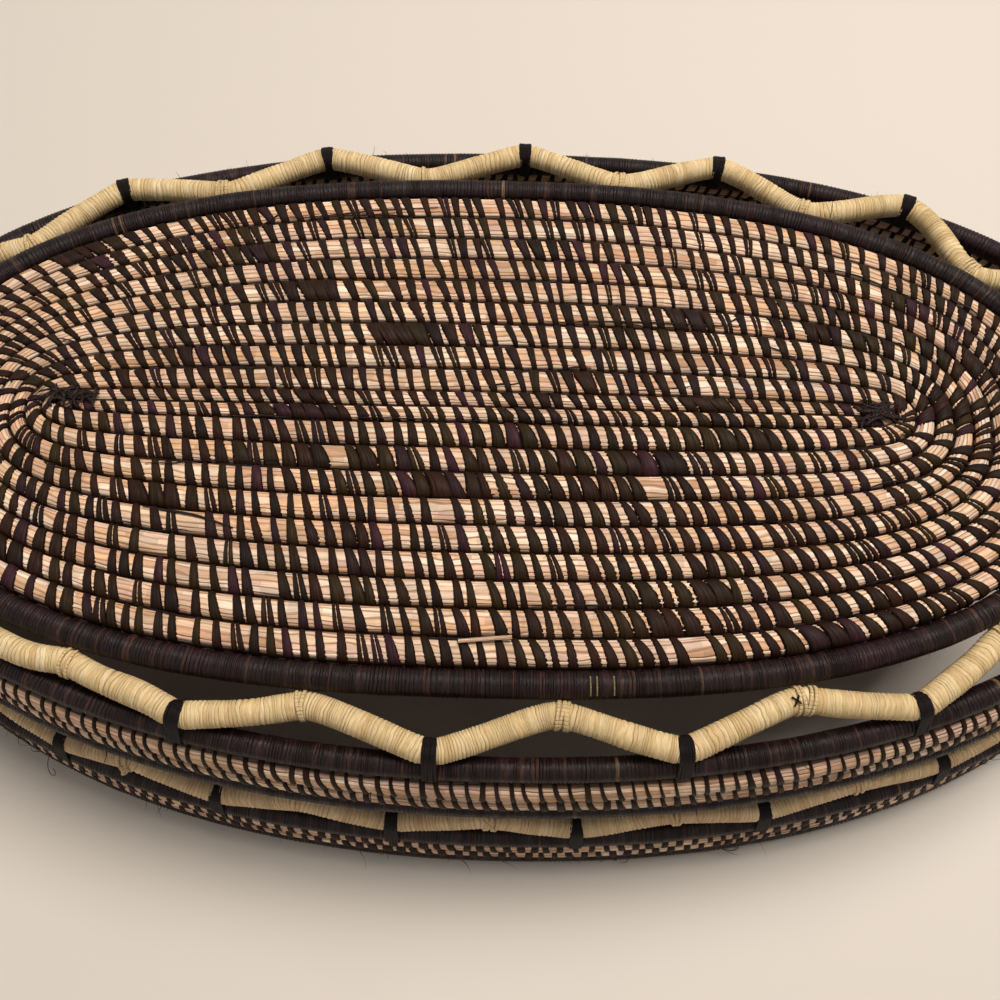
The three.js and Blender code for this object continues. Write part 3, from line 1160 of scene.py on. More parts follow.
@dataclass(frozen=True)
class Finish:
    """A named finish. Each kind builds its own material."""

    name: str
    roughness: float
    gloss: float

    def material(self) -> bpy.types.Material:
        """Builds the material.

        Returns:
            The material.
        """
        made = bpy.data.materials.new(self.name)
        made.use_nodes = True
        desk = ShadeDesk(made.node_tree)
        shader = made.node_tree.nodes["Principled BSDF"]
        shader.inputs["Roughness"].default_value = self.roughness
        shader.inputs["Specular IOR Level"].default_value = self.gloss
        self.paint(desk, shader)
        return made

    def paint(self, desk: ShadeDesk, shader: bpy.types.Node) -> None:
        """Adds the nodes that give the finish its colour and relief."""
        raise NotImplementedError


@dataclass(frozen=True)
class StrawFinish(Finish):
    """Split straws laid side by side, each with its own tone, with brown lines between them and painted shade
    in the creases where the rows meet.
    """

    straws: int
    tones: Tones
    groove: Colour
    crease_shade: Colour
    straw_length: float = 0.032
    cell_length: float = 0.0045
    wander: float = 2.4
    groove_from: float = 0.27
    crease_shade_from: float = 0.70
    crease_shade_to: float = 0.965
    crease_shade_depth: float = 0.93

    def paint(self, desk: ShadeDesk, shader: bpy.types.Node) -> None:
        """Tones by straw, dark grooves, fine fibres and painted shade in the creases at the section's sides.

        Args:
            desk: Where the nodes go.
            shader: The material's shader.
        """
        theta, along = desk.read("theta"), desk.read("along")
        drifted = desk.grain(desk.times(along, 55.0), desk.times(theta, 0.8), 0.0, 2.0)
        turn = desk.times(theta, self.straws / (2 * math.pi))
        turn = desk.plus(turn, desk.times(desk.less(drifted, 0.5), self.wander))
        straw = desk.math("ROUND", turn)
        off = desk.math("ABSOLUTE", desk.less(turn, straw))
        shift = desk.times(desk.chance(straw, 3.0), 9.0)
        piece = desk.math("FLOOR", desk.plus(desk.over(along, self.straw_length), shift))
        tone = desk.ramp(desk.chance(straw, piece, 5.0), self.tones)
        shade = desk.span(desk.cloud(55.0, 2.0), 0.3, 0.7, 0.82, 1.1)
        cell = desk.math("FLOOR", desk.over(along, self.cell_length))
        worn = desk.span(desk.chance(straw, cell, 11.0), 0.0, 1.0, 0.84, 1.12)
        fibre = desk.grain(desk.times(along, 130.0), desk.times(turn, 4.5), 0.0, 4.0)
        shade = desk.times(desk.times(shade, worn), desk.span(fibre, 0.25, 0.75, 0.78, 1.14))
        tone = desk.shaded(tone, shade)
        cut = desk.span(off, self.groove_from, 0.5)
        deep = desk.times(cut, desk.span(desk.chance(straw, piece, 8.0), 0.0, 1.0, 0.2, 0.9))
        tone = desk.blend("MIX", deep, tone, self.groove)
        # Painted shade: the straw darkens towards its section's sides, where the rows meet and shade falls.
        side = desk.math("ABSOLUTE", desk.math("COSINE", theta))
        crease_shade = desk.span(side, self.crease_shade_from, self.crease_shade_to, 0.0, self.crease_shade_depth)
        desk.feed(shader.inputs["Base Color"], desk.blend("MIX", crease_shade, tone, self.crease_shade))
        desk.relief(shader, desk.less(desk.times(fibre, 0.35), cut), 0.25 * MM, 0.8)


@dataclass(frozen=True)
class RaffiaFinish(Finish):
    """Dark raffia stitches: each has its own tone, with fibres along it that are lightened partly as painted
    highlights.
    """

    tones: Tones
    fibres: float = 7.0

    def paint(self, desk: ShadeDesk, shader: bpy.types.Node) -> None:
        """Tones by stitch and pale fibres along it, which are partly painted highlights.

        Args:
            desk: Where the nodes go.
            shader: The material's shader.
        """
        tint, across, around = (desk.read(key) for key in ("tint", "across", "around"))
        tone = desk.ramp(tint, self.tones)
        line, turn = desk.times(across, self.fibres), desk.times(around, 3.0)
        fibre = desk.grain(line, turn, desk.times(tint, 60.0), 3.0)
        # The fibres lighten the tone up to almost twofold: real fibre lines, and partly a painted highlight.
        tone = desk.shaded(tone, desk.span(fibre, 0.3, 0.72, 0.55, 1.9))
        desk.feed(shader.inputs["Base Color"], tone)
        dull = desk.span(fibre, 0.3, 0.7, self.roughness + 0.12, self.roughness - 0.08)
        desk.feed(shader.inputs["Roughness"], dull)
        desk.relief(shader, fibre, 0.25 * MM, 0.85)


@dataclass(frozen=True)
class WrapFinish(Finish):
    """Raffia wound closely round a core: each wrap has its own tone, with fibres along it whose light streaks
    are partly painted highlights.
    """

    tones: Tones
    groove: Colour
    groove_depth: float
    fibre_low: float
    fibre_and_glint_high: float
    patch: Colour
    patch_share: float
    fibres: float = 5.5
    groove_from: float = 0.34

    def paint(self, desk: ShadeDesk, shader: bpy.types.Node) -> None:
        """Tones by wrap, lines between wraps, patches, and fibres whose lightening is partly a painted
        highlight.

        Args:
            desk: Where the nodes go.
            shader: The material's shader.
        """
        wrap, theta = desk.read("wrap"), desk.read("theta")
        index = desk.math("ROUND", wrap)
        off = desk.math("ABSOLUTE", desk.less(wrap, index))
        tone = desk.ramp(desk.chance(index, 1.0), self.tones)
        side, face = (desk.times(desk.math(wave, theta), 1.3) for wave in ("COSINE", "SINE"))
        fibre = desk.grain(desk.times(wrap, self.fibres), side, face, 4.0)
        # Fibre streaks: real fibre texture, and a painted highlight where they lighten far above the tone, as
        # on the dark rim.
        shade = desk.span(fibre, 0.28, 0.72, self.fibre_low, self.fibre_and_glint_high)
        patched = desk.span(desk.cloud(38.0, 3.0), 0.52, 0.72, 0.0, self.patch_share)
        tone = desk.shaded(desk.blend("MIX", patched, tone, self.patch), shade)
        depth = desk.span(desk.chance(index, 4.0), 0.2, 1.0, 0.15, self.groove_depth)
        deep = desk.times(desk.span(off, self.groove_from, 0.5), depth)
        desk.feed(shader.inputs["Base Color"], desk.blend("MIX", deep, tone, self.groove))
        desk.relief(shader, desk.less(fibre, desk.times(deep, 0.8)), 0.3 * MM, 0.85)


class Finishes:
    """The basket's finishes, each built once."""

    def __init__(self) -> None:
        """Builds the materials."""
        self.straw = StrawFinish(
            "straw",
            roughness=0.62,
            gloss=0.35,
            straws=15,
            tones=(
                (0.0, srgb(204, 152, 114)),
                (0.16, srgb(230, 190, 154)),
                (0.38, srgb(240, 210, 180)),
                (0.58, srgb(234, 190, 164)),
                (0.76, srgb(226, 176, 130)),
                (1.0, srgb(245, 221, 196)),
            ),
            groove=srgb(140, 92, 60),
            # Colour of the painted shade in the creases between rows.
            crease_shade=srgb(58, 36, 22),
        ).material()
        dark = (
            (0.0, srgb(27, 13, 6)),
            (0.22, srgb(40, 21, 11)),
            (0.42, srgb(23, 12, 7)),
            (0.62, srgb(40, 28, 11)),
            (0.80, srgb(32, 16, 7)),
            (0.92, srgb(34, 20, 20)),
            (1.0, srgb(50, 25, 31)),
        )
        self.stitch = RaffiaFinish("stitch_raffia", roughness=0.5, gloss=0.1, tones=dark).material()
        # The rim's fibres lighten up to threefold as painted glints.
        self.rim = WrapFinish(
            "rim_raffia",
            roughness=0.38,
            gloss=0.18,
            tones=(
                (0.0, srgb(11, 4, 4)),
                (0.35, srgb(22, 11, 9)),
                (0.6, srgb(15, 7, 7)),
                (0.85, srgb(31, 17, 14)),
                (0.985, srgb(46, 28, 22)),
                # Painted glint: the palest stop lightens a few wraps as if they caught the light.
                (1.0, srgb(92, 72, 48)),
            ),
            groove=srgb(4, 3, 3),
            groove_depth=0.95,
            fibre_low=0.4,
            fibre_and_glint_high=3.0,
            patch=srgb(33, 15, 21),
            patch_share=0.6,
        ).material()
        self.tie = WrapFinish(
            "tie_raffia",
            roughness=0.5,
            gloss=0.1,
            tones=((0.0, srgb(12, 8, 7)), (0.5, srgb(20, 13, 12)), (1.0, srgb(15, 10, 11))),
            groove=srgb(5, 3, 3),
            groove_depth=0.5,
            fibre_low=0.6,
            fibre_and_glint_high=1.7,
            patch=srgb(24, 13, 16),
            patch_share=0.5,
        ).material()
        cream = WrapFinish(
            "rod_raffia",
            roughness=0.58,
            gloss=0.35,
            tones=(
                (0.0, srgb(212, 178, 124)),
                (0.3, srgb(228, 198, 146)),
                (0.6, srgb(234, 206, 156)),
                (0.85, srgb(220, 186, 134)),
                (1.0, srgb(240, 216, 172)),
            ),
            groove=srgb(146, 106, 64),
            groove_depth=0.8,
            fibre_low=0.80,
            fibre_and_glint_high=1.12,
            patch=srgb(204, 174, 122),
            patch_share=0.6,
        )
        self.cream = cream.material()
        # Painted shade: a darker copy of the cream finish for the lower rod and its knot, which lie in the
        # shade of the tier above.
        shaded_rod = ((0.0, srgb(208, 172, 126)), (0.5, srgb(230, 198, 152)), (1.0, srgb(220, 186, 142)))
        self.shaded_rod = replace(cream, name="aged_raffia", tones=shaded_rod, patch=srgb(196, 162, 118)).material()
        olive = ((0.0, srgb(128, 104, 62)), (1.0, srgb(158, 132, 84)))
        self.olive = replace(cream, name="olive_raffia", tones=olive, patch=srgb(112, 88, 52)).material()


# Sub-assemblies.


@dataclass(frozen=True)
class Bench:
    """What every sub-assembly is made with."""

    strands: StrandTree
    setter: StitchTree
    finishes: Finishes
    cuts: bpy.types.Collection

    def stitch(self, name: str, places: Stitches, spread: float, seed: int) -> None:
        """Sets stitches and settles them as one piece.

        Args:
            name: Name of the piece.
            places: Where the stitches go.
            spread: How much their widths vary, as a share.
            seed: Shifts the random part.
        """
        finish = self.finishes.stitch
        piece = self.setter.apply(
            name, places.mesh(name), Material=finish, Cuts=self.cuts, Spread=spread, Seed=seed
        )
        settle(piece, "dark_raffia")


def settle(piece: bpy.types.Object, slot: str, *nodes: str) -> None:
    """Hands a finished piece to the frame and reports it.

    Args:
        piece: The finished piece.
        slot: Its material slot; not used.
        *nodes: The nodes that it replaces.
    """
    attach(piece, "root")
    if nodes:
        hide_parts(*nodes)
    LOG.info("%s: %d faces", piece.name, len(piece.data.polygons))


def wound_lane(place: Place, way: Array | float, half: float, rise: float, pitch: float, seed: float) -> Lane:
    """A closed row of the wall, with four points to each wrap laid round it.

    Args:
        place: Gives places over stations, at a way across.
        way: Way across at which the row runs.
        half: Half width of the strand.
        rise: Half thickness of the strand.
        pitch: Mean width of a wrap.
        seed: Shifts the wraps' random widths.

    Returns:
        The row's lane.
    """
    station = np.linspace(0, STATIONS, 2881)[:-1]
    ways = np.broadcast_to(way, station.shape)
    across = place(station, ways + 0.25) - place(station, ways - 0.25)
    return wrap_evenly(place(station, ways), across, half, rise, pitch, seed)


def wrap_evenly(
    dense: Array, across: Array, half: Array | float, rise: Array | float, pitch: float, seed: float
) -> Lane:
    """Spaces the points of a closed line so that each wrap round it has four of them.

    Args:
        dense: The line, as close points.
        across: Way across the strand at each.
        half: Half width, one or for each point.
        rise: Half thickness, likewise.
        pitch: Mean width of a wrap.
        seed: Shifts the wraps' random widths.

    Returns:
        The lane.
    """
    length = measure(dense, 0.0, True)
    rough = 1 + WRAP_VARIATION * np.clip(drift(dense, WRAP_VARIATION_SIZE, seed), -1, 1)
    rough = np.concatenate([rough, rough[:1]])
    laid = np.concatenate([[0.0], np.cumsum(np.diff(length) / (pitch * (rough[1:] + rough[:-1]) / 2))])
    wraps = round(laid[-1])
    laid *= wraps / laid[-1]
    counts = np.arange(POINTS_PER_WRAP * wraps) / POINTS_PER_WRAP
    spot = np.interp(counts, laid, np.arange(len(laid)))

    def read(values: Array | float) -> Array:
        """Values at the new points.

        Args:
            values: Values at the close points.

        Returns:
            The values at the new ones.
        """
        values = np.broadcast_to(values, (len(dense),)) if np.ndim(values) == 0 else values
        looped = np.concatenate([values, values[:1]])
        index = np.arange(len(looped))
        if looped.ndim == 1:
            return np.interp(spot, index, looped)
        return np.stack([np.interp(spot, index, looped[:, k]) for k in range(3)], -1)

    return Lane.over(read(dense), read(across), read(half), read(rise), True, counts)


@dataclass(frozen=True)
class Zone:
    """A stretch of the base where the dark cover is heavier, or lighter where the weight is negative."""

    x: float
    y: float
    long: float
    wide: float
    weight: float

    def pull(self, points: Array) -> Array:
        """The zone's weight at points, fading away from its middle.

        Args:
            points: The points.

        Returns:
            The weights.
        """
        along = (points[:, 0] - self.x * MM) / (self.long * MM)
        beside = (points[:, 1] - self.y * MM) / (self.wide * MM)
        return self.weight * np.exp(-((along**2 + beside**2) ** 2))


@dataclass
class BasePanel:
    """The base: one straw coil wound out from a straight middle strand, stitched down round by round."""

    rounds: int = 10
    middle_pitch: float = 4.8 * MM
    middle_half_length: float = 116 * MM
    middle_x: float = -10 * MM
    zone: float = 6.0
    bend: float = 6.0
    rise: float = 3.05 * MM
    step: float = 3.3 * MM
    spacing: float = 4.4 * MM
    stitch_width: float = 2.38 * MM
    slip: float = 1.5 * MM
    skew: float = 0.05
    nearest: float = 0.74
    farthest: float = 1.42
    merged_above: float = 0.86
    merged_share: float = 0.8
    missing_share: float = 0.012
    kind_shares: tuple[float, ...] = (0.60, 0.76, 0.88)
    stitch_seed: int = 41
    stray_seed: int = 5
    stray_count: int = 110
    stray_lift: float = 0.3 * MM
    knot_strands: int = 22
    zones: tuple[Zone, ...] = (
        Zone(-120, 50, 34, 15, 0.5),
        Zone(-78, 56, 16, 6, 0.5),
        Zone(-27, 24, 9, 4, 1.2),
        Zone(50, 31, 9, 4, 1.2),
        Zone(53, 4, 10, 4, 1.0),
        Zone(-8, -21, 34, 8, 0.7),
        Zone(40, -22, 30, 10, 0.25),
        Zone(93, -51, 30, 14, 0.6),
        Zone(50, -56, 22, 6, 0.2),
        Zone(130, 5, 14, 30, 0.4),
        Zone(34, 39, 22, 4, -1.0),
        Zone(-30, 7, 9, 4, -0.9),
        Zone(-30, -67, 14, 4, -0.4),
    )

    @property
    def reach(self) -> float:
        """From the middle strand out to the base rim's inner side, at mid length."""
        return BASKET.base.half_depth - (BASKET.rim_diameter + BASKET.row_gap) / 2

    @property
    def pitch(self) -> float:
        """Width of a full round at mid length."""
        return (self.reach - self.middle_pitch) / (self.rounds - 1)

    def place(self, station: Array, reach: Array) -> Array:
        """Places over the stations, a way out from the middle strand.

        Args:
            station: Stations round the oval, 0 to 48.
            reach: Way out from the middle strand.

        Returns:
            The places.
        """
        inset = np.full(station.shape, self.reach - BASKET.base.half_depth)
        rim = BASKET.point(station, inset, np.zeros(station.shape))
        aside = rim[..., 0] - self.middle_x
        along = aside / (1 + np.abs(aside / self.middle_half_length) ** self.bend) ** (1 / self.bend)
        spine = np.stack([self.middle_x + along, np.zeros_like(along), rim[..., 2]], -1)
        return spine + (rim - spine) * (reach / self.reach)[..., None]

    def edge(self, level: Array, side: float) -> Array:
        """Way out to a round's inner or outer edge; a level between whole rounds is between their edges.

        Args:
            level: Number of the round, 1 in the middle.
            side: -1 for its inner edge, 1 for its outer one, 0 between.

        Returns:
            The way out.
        """
        first, second = self.middle_pitch / 2, self.middle_pitch + self.pitch / 2
        share = np.clip(level - 1, 0, 1)
        middle = first + (second - first) * share + np.maximum(level - 2, 0) * self.pitch
        half = (self.middle_pitch + (self.pitch - self.middle_pitch) * share) / 2
        return middle + side * half

    def strand(self) -> tuple[Lane, Array]:
        """The whole coil as one lane, with the station of each of its points.

        Returns:
            The lane and the stations.
        """
        station = np.linspace(-self.zone, self.rounds * STATIONS + self.zone, 24001)
        crossing = np.floor(station / STATIONS + 0.5)
        moved = ease(station - crossing * STATIONS, -self.zone, self.zone)
        level = np.clip(crossing + moved, 1, self.rounds)
        low, high = self.edge(level, -1), self.edge(level, 1)
        opening = station < self.zone
        low = np.where(opening, 0.0, low)
        high = np.where(opening, self.edge(1 + moved, -1), high)
        closing = station > self.rounds * STATIONS - self.zone
        low = np.where(closing, self.edge(self.rounds - 1 + moved, 1), low)
        high = np.where(closing, self.reach + 0.3 * MM, high)
        kept = high - low > 1.0 * MM
        station, low, high = station[kept], low[kept], high[kept]
        reach = (low + high) / 2
        centre = self.place(station, reach)
        outward = (self.place(station, reach + 0.5 * MM) - self.place(station, reach - 0.5 * MM)) / MM
        tangent = unit(np.gradient(centre, axis=0))
        closeness = np.linalg.norm(np.cross(outward, tangent), axis=-1)
        half = (high - low) / 2 * closeness
        rise = self.rise * np.clip(half / (2.4 * MM), 0.35, 1)
        centre[:, 2] += 0.25 * MM * drift(centre, 0.05, 2.0)
        return Lane.over(centre, outward, half, rise), station

    def thin(self, lane: Lane) -> Lane:
        """The coil with no more points than its bends need.

        Args:
            lane: The coil's lane.

        Returns:
            The lane with fewer points.
        """
        marks = measure(lane.centre, 14 * MM)
        count = int(marks[-1] / self.step)
        spots = np.interp(np.linspace(0, marks[-1], count), marks, lane.along)
        return lane.at(spots)

    def spots(self, lane: Lane, station: Array, rng: np.random.Generator) -> Array:
        """Where the stitches lie along the coil, so that they carry on each round in slanting columns.

        Args:
            lane: The coil's lane.
            station: Station of each of its points.
            rng: Gives the random numbers.

        Returns:
            Their distances along the lane.
        """
        low, high = self.nearest * self.spacing, self.farthest * self.spacing
        spots = list(np.arange(1.5 * MM, np.interp(STATIONS, station, lane.along), self.spacing))
        carried = 0
        while True:
            over = float(np.interp(spots[carried], lane.along, station)) + STATIONS
            if over > station[-1] - 0.2:
                break
            carried += 1
            spot = float(np.interp(over, station, lane.along)) + self.slip + rng.normal(0, 0.25 * MM)
            ahead = spot - spots[-1]
            if ahead < low:
                continue
            if ahead > high:
                extra = round(ahead / self.spacing)
                spots += [spots[-1] + ahead * k / extra for k in range(1, extra)]
            spots.append(spot)
        spots = np.array([spot for spot in spots if spot < lane.along[-1] - 1.5 * MM])
        return spots + rng.normal(0, 0.22 * MM, len(spots))

    def stitches(self, lane: Lane, station: Array) -> Stitches:
        """Places the stitches and picks a cut and a width for each.

        Args:
            lane: The coil's lane.
            station: Station of each of its points.

        Returns:
            The stitches.
        """
        rng = np.random.default_rng(self.stitch_seed)
        found = lane.at(self.spots(lane, station, rng))
        count = len(found.centre)
        heavy = drift(found.centre * np.array([1.0, 4.2, 1.0]), 0.034, 4.0)
        dark_zone = drift(found.centre, 0.075, 9.0)
        pull = sum(zone.pull(found.centre) for zone in self.zones)
        width = self.stitch_width * (1 + 0.12 * np.clip(heavy, -0.8, 1) + 0.08 * np.clip(dark_zone, -1, 1))
        width *= rng.uniform(0.84, 1.2, count) * (1 + 0.35 * np.clip(pull, -1.4, 0.9))
        heavy_enough = heavy + 0.2 * dark_zone + pull > self.merged_above
        merged = heavy_enough & (rng.random(count) < self.merged_share)
        width = np.where(merged, width * 1.2, width)
        draw = rng.random(count)
        order = (StitchKind.BROAD, StitchKind.PLAIN, StitchKind.SLIM, StitchKind.SPLIT)
        chosen = [merged] + [draw < share for share in self.kind_shares]
        cuts = np.select(chosen, [kind.number for kind in order], StitchKind.BROAD.number)
        missing = (rng.random(count) < self.missing_share) & ~merged
        kept = ~missing
        result = Stitches()
        result.add(found.only(kept), width[kept], cuts[kept], rng.normal(0, self.skew, kept.sum()))
        return result

    def stray(self, station: Array, level: Array) -> Array:
        """Places on top of the rounds; a whole level is on a round's crest, and a half one between two.

        Args:
            station: Stations round the oval, 0 to 48.
            level: Number of the round at each.

        Returns:
            The places.
        """
        off = np.abs(level - np.round(level))
        middle = self.edge(np.maximum(level, 1.0), 0.0)
        points = self.place(station, middle)
        points[..., 2] += self.rise * (1 - np.minimum(2 * off, 0.96) ** 2.5) ** 0.4 + self.stray_lift
        return points

    def strays(self, rng: np.random.Generator) -> list[Lane]:
        """Ends of raffia that lie along the rounds.

        Args:
            rng: Gives the random numbers.

        Returns:
            Their lanes.
        """
        lanes = []
        share = np.linspace(0, 1, 14)
        for _ in range(self.stray_count):
            start = rng.uniform(0, STATIONS)
            level = rng.integers(1, self.rounds) + rng.choice([0.42, 0.5, 0.58]) + rng.normal(0, 0.05)
            reach = rng.uniform(0.4, 2.2) * rng.choice([-1, 1])
            drop = rng.normal(0, 0.34) if rng.random() < 0.45 else 0.0
            wander = rng.normal(0, 0.05) * np.sin(share * rng.uniform(4, 9))
            levels = np.clip(level + drop * share**2 + wander, 1, self.rounds + 0.3)
            points = self.stray(start + reach * share, levels)
            lanes.append(self.stray_lane(points, rng.uniform(0.16, 0.36) * MM))
        return lanes

    def knots(self, rng: np.random.Generator) -> list[Lane]:
        """Raffia that curls at the ends of the middle strand.

        Args:
            rng: Gives the random numbers.

        Returns:
            The strands' lanes.
        """
        lanes = []
        share = np.linspace(0, 1, 14)
        for side in (-1, 1):
            end = self.middle_x + side * (self.middle_half_length - 5 * MM)
            heart = np.array([end, 0.0, BASKET.rim_height])
            for _ in range(self.knot_strands):
                turn, bow = rng.uniform(0, 2 * math.pi), rng.normal(0, 1.3)
                reach = rng.uniform(2.0, 4.5) * MM
                offset = np.array([rng.normal(0, 3.2), rng.normal(0, 1.4), 0.0]) * MM
                angle = turn + bow * share
                steps = np.stack([np.cos(angle) * 1.3, np.sin(angle) * 0.8, np.zeros(14)], -1) * reach
                curl = steps * (2 * share - 1)[:, None]
                curl[:, 2] = self.rise + rng.uniform(0.0, 0.9) * MM - 0.5 * MM * (2 * share - 1) ** 2
                lanes.append(self.stray_lane(heart + offset + curl, rng.uniform(0.3, 0.6) * MM))
        return lanes

    @staticmethod
    def stray_lane(points: Array, half: float) -> Lane:
        """A flat strand along points on the base, tapering at its ends.

        Args:
            points: Places along the strand.
            half: Half its width.

        Returns:
            The lane.
        """
        taper = np.sin(np.linspace(0.25, math.pi - 0.25, len(points))) ** 0.5
        way = unit(np.gradient(points, axis=0))
        return Lane.over(points, np.cross(UP, way), half * taper, 0.45 * half * taper)

    def build(self, bench: Bench) -> None:
        """Makes the coil, its stitches and its loose strands.

        Args:
            bench: What it is made with.
        """
        lane, station = self.strand()
        coil = bench.strands.lay(
            "base_straw",
            [self.thin(lane)],
            bench.finishes.straw,
            sides=36,
            fullness=2.5,
            straws=15,
            straw_depth=0.26 * MM,
            wobble=0.5 * MM,
            wobble_size=0.02,
        )
        settle(coil, "straw_coil", "base_coil")
        places = self.stitches(lane, station)
        bench.stitch("base_stitches", places, 0.08, 3)
        LOG.info("stitches over the base: %d", len(places.cuts))
        rng = np.random.default_rng(self.stray_seed)
        loose = self.strays(rng) + self.knots(rng)
        settle(bench.strands.lay("base_strays", loose, bench.finishes.rim, sides=5), "dark_raffia")


@dataclass
class WrappedRing:
    """A ring bound closely with dark raffia."""

    name: str
    node: str
    row: Row
    diameter: float
    seed: float
    pitch: float = 0.92 * MM
    sides: int = 12

    def build(self, bench: Bench) -> None:
        """Makes the ring.

        Args:
            bench: What it is made with.
        """
        place = BASKET.between([self.row, self.row.down(BASKET.row_pitch, BASKET.lower_band_slope)])
        half = self.diameter / 2
        lane = wound_lane(place, 0.0, half, half, self.pitch, self.seed)
        piece = bench.strands.lay(
            self.name,
            [lane],
            bench.finishes.rim,
            sides=self.sides,
            fullness=2.15,
            wrap_depth=0.2 * MM,
            wrap_lean=1.6,
            wobble=0.35 * MM,
            wobble_size=0.012,
            seed=self.seed,
        )
        settle(piece, "dark_raffia", self.node)


@dataclass
class StitchedBand:
    """The two straw rounds between a band's dark rings, with their stitches."""

    name: str
    node: str
    rows: list[Row]
    seed: int
    kinds: tuple[tuple[StitchKind, float], ...]
    shares: tuple[float, float]
    spacing: float
    zone: float = 2.0
    rise: float = 3.0 * MM

    def strand(self, place: Place) -> tuple[Lane, Array]:
        """The two rounds as one lane, with the station of each of its points.

        Args:
            place: Gives places over the band's rows.

        Returns:
            The lane and the stations.
        """
        station = np.linspace(-self.zone, 2 * STATIONS + self.zone, 7201)
        crossing = np.floor(station / STATIONS + 0.5)
        moved = ease(station - crossing * STATIONS, -self.zone, self.zone)
        level = np.clip(crossing + moved, 1, 2)
        low, high = level - 0.5, level + 0.5
        opening = station < self.zone
        low, high = np.where(opening, 0.5, low), np.where(opening, 0.5 + moved, high)
        closing = station > 2 * STATIONS - self.zone
        low, high = np.where(closing, 1.5 + moved, low), np.where(closing, 2.5, high)
        kept = high - low > 0.16
        station, low, high = station[kept], low[kept], high[kept]
        way = (low + high) / 2
        centre = place(station, way)
        across = place(station, way + 0.3) - place(station, way - 0.3)
        half = (high - low) / 2 * BASKET.row_pitch * 1.02
        rise = self.rise * np.clip(half / (2.6 * MM), 0.35, 1)
        return Lane.over(centre, across, half, rise), station

    def stitches(self, lane: Lane, station: Array) -> Stitches:
        """Places the stitches of both rounds.

        Args:
            lane: The rounds' lane.
            station: Station of each of its points.

        Returns:
            The stitches.
        """
        rng = np.random.default_rng(self.seed)
        result = Stitches()
        first = float(np.interp(STATIONS, station, lane.along))
        ends = ((1 * MM, first), (first + self.spacing / 2, lane.along[-1] - 1 * MM))
        for share, (begin, end) in zip(self.shares, ends):
            count = int((end - begin) / self.spacing)
            spots = begin + (np.arange(count) + 0.5) * (end - begin) / count
            spots = spots + 0.8 * MM * drift(lane.at(spots).centre, 0.02, self.seed)
            spots = spots + rng.normal(0, 0.2 * MM, count)
            found = lane.at(spots)
            width = self.spacing * share * (1 + 0.22 * drift(found.centre, 0.018, self.seed + 3.0))
            width = width * rng.uniform(0.85, 1.18, count)
            odds = np.array([odd for _, odd in self.kinds])
            cuts = rng.choice([kind.number for kind, _ in self.kinds], count, p=odds / sum(odds))
            result.add(found, width, cuts, rng.normal(0, 0.05, count))
        return result

    def build(self, bench: Bench) -> None:
        """Makes the rounds and their stitches.

        Args:
            bench: What it is made with.
        """
        lane, station = self.strand(BASKET.between(self.rows))
        spots = np.linspace(0, lane.along[-1], int(lane.along[-1] / (3.4 * MM)))
        coil = bench.strands.lay(
            f"{self.name}_straw",
            [lane.at(spots)],
            bench.finishes.straw,
            sides=36,
            fullness=2.3,
            straws=15,
            straw_depth=0.24 * MM,
            wobble=0.4 * MM,
            wobble_size=0.02,
            seed=float(self.seed),
        )
        settle(coil, "straw_coil", self.node)
        bench.stitch(f"{self.name}_stitches", self.stitches(lane, station), 0.06, self.seed)


